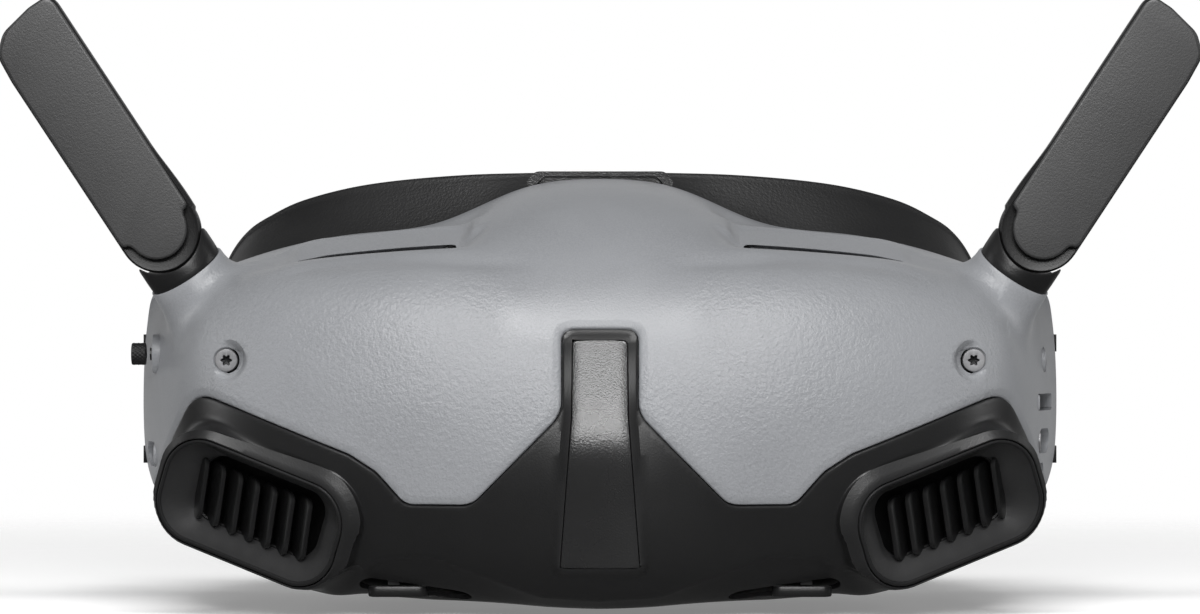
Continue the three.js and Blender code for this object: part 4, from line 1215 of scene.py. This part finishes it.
def stick_cap():
    """The five-way stick's cap, with crossed knurls round its side."""
    low, high = node_box("joystick_cap")
    cy, cz, r = (low[1] + high[1]) / 2, (low[2] + high[2]) / 2, (high[2] - low[2]) / 2
    angles = round_angles(96)
    length = high[0] - low[0]
    rings = [(r - 0.35, 0.0), (r - 0.12, 0.06)]
    for t in np.linspace(0.1, 0.92, 22):
        knurl = 0.09 * (np.abs(np.cos(9 * angles + t * 10)) + np.abs(np.cos(9 * angles - t * 10)) - 1.6)
        rings.append((r - 0.06 + np.minimum(knurl, 0.05), t * length))
    rings += [(r - 0.12, length - 0.06), (r - 0.4, length), (0.7, length), (0.55, length - 0.1)]
    made = turned([(radius, low[0] + x) for radius, x in rings], angles, (cy, cz), 0)
    return mesh_piece(made, "stick_cap", "grip_rubber", "joystick_cap", "joystick_cap", sharp=50)


def lens(side):
    """A polished lens with a slim rim."""
    name = NAME[side]
    low, high = node_box(f"eyepiece_lens_{name}")
    cx, cz, r = (low[0] + high[0]) / 2, (low[2] + high[2]) / 2, (high[2] - low[2]) / 2
    angles = round_angles(96)
    rings = []
    for share in (0.05, 0.25, 0.5, 0.75, 0.95, 1.0):
        rings.append((r * share, low[1] + 1.55 * share**2))
    rings.append((r, high[1] - 1.8))
    for share in (0.97, 0.8, 0.6, 0.4, 0.2, 0.05):
        rings.append((r * share, high[1] - 1.75 * share**2))
    made = turned(rings, angles, (cx, cz), 1)
    return mesh_piece(made, f"lens_{name}", "lens_glass", f"eyepiece_lens_{name}", f"eyepiece_{name}", 40)


# ---------- materials ----------
def new_tree(made):
    made.use_nodes = True
    return made.node_tree


def wire(tree, node, values):
    """Sets a node's inputs; a value that is another node's output is linked."""
    for socket, value in values.items():
        if isinstance(value, bpy.types.NodeSocket):
            tree.links.new(value, node.inputs[socket])
        else:
            node.inputs[socket].default_value = value


def add_node(tree, kind, values, **settings):
    node = tree.nodes.new("ShaderNode" + kind)
    for setting, value in settings.items():
        setattr(node, setting, value)
    wire(tree, node, values)
    return node


MIX_OUT = 2  # the colour output of a Mix node


def plastic(
    name, colour, roughness, grain=0.5, size=0.45, vary=0.06, wear=0.25,
    metallic=0.0, coat=0.0, specular=0.5, mask=None,
):
    """Moulded plastic, paint or metal: grain of a size in mm, cloudy roughness and worn edges."""
    made = bpy.data.materials.new(name)
    tree = new_tree(made)
    place = add_node(tree, "TexCoord", {}).outputs["Object"]

    def noise(size, detail, rough=0.5):
        values = {"Scale": 1000 / size, "Detail": detail, "Roughness": rough, "Vector": place}
        return add_node(tree, "TexNoise", values).outputs["Fac"]

    def ramp(value, a, b, to_a=0.0, to_b=1.0):
        values = {"From Min": a, "From Max": b, "To Min": to_a, "To Max": to_b, "Value": value}
        return add_node(tree, "MapRange", values).outputs["Result"]

    def mix(factor, a, b):
        return add_node(tree, "Mix", {0: factor, 6: a, 7: b}, data_type="RGBA").outputs[MIX_OUT]

    def shade(share, more=0.0):
        return (*(min(1.0, c * share + more) for c in colour), 1)

    clouds = noise(18, 3)
    fine = noise(size, 2, 0.6)
    pointiness = add_node(tree, "NewGeometry", {}).outputs["Pointiness"]
    tinted = mix(ramp(clouds, 0.35, 0.65), shade(0.94), shade(1.06))
    speckled = mix(ramp(fine, 0.3, 0.7), tinted, shade(1.12))
    height = fine
    if mask:
        shown = add_node(tree, "Attribute", {}, attribute_name=mask).outputs["Fac"]
        coarse = noise(size * 2.2, 3, 0.65)
        there = add_node(tree, "Math", {0: coarse, 1: shown}, operation="MULTIPLY").outputs[0]
        height = add_node(tree, "Math", {0: there, 1: 4.0, 2: fine}, operation="MULTIPLY_ADD").outputs[0]
    grained = add_node(tree, "Bump", {"Distance": 0.0001, "Strength": grain, "Height": height})
    wire(tree, tree.nodes["Principled BSDF"], {
        "Base Color": mix(ramp(pointiness, 0.53, 0.62, 0.0, wear), speckled, shade(1.7, 0.02)),
        "Roughness": ramp(clouds, 0.3, 0.7, roughness - vary, roughness + vary),
        "Metallic": metallic,
        "Coat Weight": coat,
        "Specular IOR Level": specular,
        "Normal": grained.outputs["Normal"],
    })
    return made


FINISHES = {
    "grey_shell": dict(colour=(0.225, 0.231, 0.243), roughness=0.34, size=0.35, mask="grain"),
    "black_shell": dict(colour=(0.009, 0.009, 0.0093), roughness=0.36, specular=0.6, grain=0.2, size=0.3),
    "black_face": dict(colour=(0.012, 0.012, 0.0123), roughness=0.27, specular=0.95, size=0.3),
    "black_satin": dict(colour=(0.008, 0.008, 0.0083), roughness=0.36, grain=0.3, size=0.3),
    "black_frame": dict(colour=(0.022, 0.022, 0.0225), roughness=0.42, specular=0.8, grain=0.3, size=0.3),
    "gloss_black": dict(
        colour=(0.006, 0.006, 0.0065), roughness=0.12, grain=0.05, size=1.0, vary=0.03, wear=0.1
    ),
    "pad_foam": dict(colour=(0.012, 0.012, 0.0125), roughness=0.85, grain=1.0, size=0.6, wear=0.0),
    "pad_skirt": dict(colour=(0.006, 0.006, 0.0063), roughness=0.5, grain=0.8, size=0.5, wear=0.1),
    "steel": dict(colour=(0.36, 0.36, 0.37), roughness=0.34, grain=0.15, size=0.2, metallic=0.75),
    # Dark steel for the pins, rods and gimbal; in the screw sockets it is painted shade.
    "dark_steel_and_socket_shade": dict(colour=(0.012, 0.012, 0.013), roughness=0.4, grain=0.1, size=0.3, metallic=0.4),
    "circuit_board": dict(colour=(0.02, 0.09, 0.05), roughness=0.4, grain=0.2, size=1.2),
    "heat_sink_metal": dict(colour=(0.5, 0.5, 0.52), roughness=0.35, grain=0.2, size=0.4, metallic=1.0),
    "grip_rubber": dict(colour=(0.009, 0.009, 0.0095), roughness=0.55, size=0.25),
    "lens_glass": dict(
        colour=(0.03, 0.035, 0.05), roughness=0.04, grain=0.0, size=3.0, vary=0.01, wear=0.0, coat=1.0
    ),
}
MATERIALS = {name: plastic(name, **finish) for name, finish in FINISHES.items()}
SLOTS = {name: name for name in MATERIALS}
SLOTS.update(black_face="black_shell", black_satin="black_part", black_frame="black_shell")

grey_shell()
black_cover()
nose_strip()
for side in SIDES:
    intake_bezel(side)
    intake_fins(side)
    shell_screw(side)
    antenna(side)
    lens(side)
pad_frame()
foam_pad()
forehead_clip()
stick_cap()
KEPT = {
    "rear_housing": ("housing", 0.35, "black_satin"),
    "joystick_bezel": ("stick_rim", 0.15, "grey_shell"),
    "back_button": ("back_key", 0.3, "grey_shell"),
    "link_button": ("link_key", 0.3, "grey_shell"),
    "usb_c_port": ("usb_c_shell", 0.2, "steel"),
    "audio_jack": ("audio_socket", 0.2, "black_satin"),
    "card_slot": ("card_mouth", 0.15, "grey_shell"),
    "main_board": ("board", 0.1, "circuit_board"),
    "fan_housing": ("fan_case", 0.25, "black_satin"),
    "heat_sink": ("cooling_fins", 0.1, "heat_sink_metal"),
    "proximity_sensor": ("wear_sensor", 0.2, "gloss_black"),
}
for node, (name, width, finish) in KEPT.items():
    softened(node, name, width, finish)
housing = bpy.data.objects["housing"]
for point in housing.data.vertices:
    # The housing's low edge stays above the cover's.
    if abs(point.co.x) > 0.012:
        point.co.z = max(point.co.z, (2.3 + SHIFT[2]) * MM)
for name in NAME.values():
    softened(f"eyepiece_barrel_{name}", f"eyepiece_body_{name}", 0.25, "black_satin")
    knob = softened(f"ipd_slider_{name}", f"eye_knob_{name}", 0.5, "black_satin")
    for point in knob.data.vertices:
        point.co.x -= math.copysign(0.7 * MM, point.co.x)
        point.co.z += (0.47 - 0.16 * (point.co.z / MM - SHIFT[2] - 4.2)) * MM
    softened(f"display_{name}", f"eye_screen_{name}", 0.15, "gloss_black")
    softened(f"strap_anchor_{name}", f"strap_arm_{name}", 0.5, "black_shell", segments=3)
for node, ob in frame["nodes"].items():
    if ob.hide_render:
        continue
    finish = "dark_steel_and_socket_shade" if "pin" in node or "rod" in node or "gimbal" in node else "black_satin"
    ob.data.materials.clear()
    ob.data.materials.append(MATERIALS[finish])
    for face in ob.data.polygons:
        face.use_smooth = False


# ---------- camera, lights, floor ----------
def look(ob, place, target):
    ob.location = place
    ob.rotation_euler = (Vector(target) - Vector(place)).to_track_quat("-Z", "Y").to_euler()
    bpy.context.scene.collection.objects.link(ob)


def softbox(name, azimuth, elevation, distance, size, radiance, target=(0, 0, 0.05)):
    """An area light seen at an angle from the object: azimuth 0 is the front, 90 the right."""
    lamp = bpy.data.lights.new(name, "AREA")
    lamp.shape = "RECTANGLE"
    lamp.size, lamp.size_y = size
    lamp.energy = radiance * math.pi * size[0] * size[1]
    a, e = math.radians(azimuth), math.radians(elevation)
    place = Vector((math.sin(a) * math.cos(e), -math.cos(a) * math.cos(e), math.sin(e))) * distance
    look(bpy.data.objects.new(name, lamp), place + Vector(target), target)


WHITE = (1, 1, 1, 1)
CAMERA_PLACE = (0, -914, 52.1)
camera = bpy.data.cameras.new("camera")
camera.lens = 158
camera.sensor_width = 36
camera.clip_start = 0.05
camera_ob = bpy.data.objects.new("camera", camera)
spot = to_metres(CAMERA_PLACE).tolist()
look(camera_ob, spot, (spot[0], 0, spot[2]))
bpy.context.scene.camera = camera_ob

softbox("key_low", 0, 24, 1.3, (0.85, 0.35), 9.6)
softbox("key_high", 0, 56, 1.3, (0.95, 0.4), 12)
for direction in (-1, 1):
    softbox(f"side_{direction + 1}", direction * 95, 14, 1.2, (0.35, 0.8), 2.2)
softbox("backdrop", 180, 8, 1.4, (2.2, 1.1), 0.4)

world = bpy.data.worlds.new("studio")
bpy.context.scene.world = world
tree = new_tree(world)
wire(tree, tree.nodes["Background"], {"Color": WHITE})
dim = add_node(tree, "Background", {"Color": WHITE, "Strength": 0.075})
seen_directly = add_node(tree, "LightPath", {}).outputs["Is Camera Ray"]
pale = tree.nodes["Background"].outputs[0]
choose = add_node(tree, "MixShader", {0: seen_directly, 1: dim.outputs[0], 2: pale})
wire(tree, tree.nodes["World Output"], {"Surface": choose.outputs[0]})
bpy.context.scene.view_settings.view_transform = "Standard"


def floor_disc(radius=0.45, solid=0.2):
    """A pale round floor that fades out before its edge."""
    angles = round_angles(96)
    points = [(radius * math.cos(a), radius * math.sin(a), 0) for a in angles]
    mesh = bpy.data.meshes.new("floor")
    mesh.from_pydata(points, [], [tuple(range(len(points)))])
    made = bpy.data.materials.new("floor")
    tree = new_tree(made)
    place = add_node(tree, "TexCoord", {}).outputs["Object"]
    length = add_node(tree, "VectorMath", {0: place}, operation="LENGTH").outputs["Value"]
    fall = {"From Min": solid, "From Max": radius * 0.97, "To Min": 1.0, "To Max": 0.0, "Value": length}
    wire(tree, tree.nodes["Principled BSDF"], {
        "Base Color": (0.85, 0.85, 0.85, 1),
        "Emission Color": WHITE,
        "Emission Strength": 0.22,
        "Roughness": 0.7,
        "Specular IOR Level": 0.0,
        "Alpha": add_node(tree, "MapRange", fall, interpolation_type="SMOOTHSTEP").outputs["Result"],
    })
    mesh.materials.append(made)
    ob = bpy.data.objects.new("floor", mesh)
    bpy.context.scene.collection.objects.link(ob)
    ob.visible_glossy = False


floor_disc()
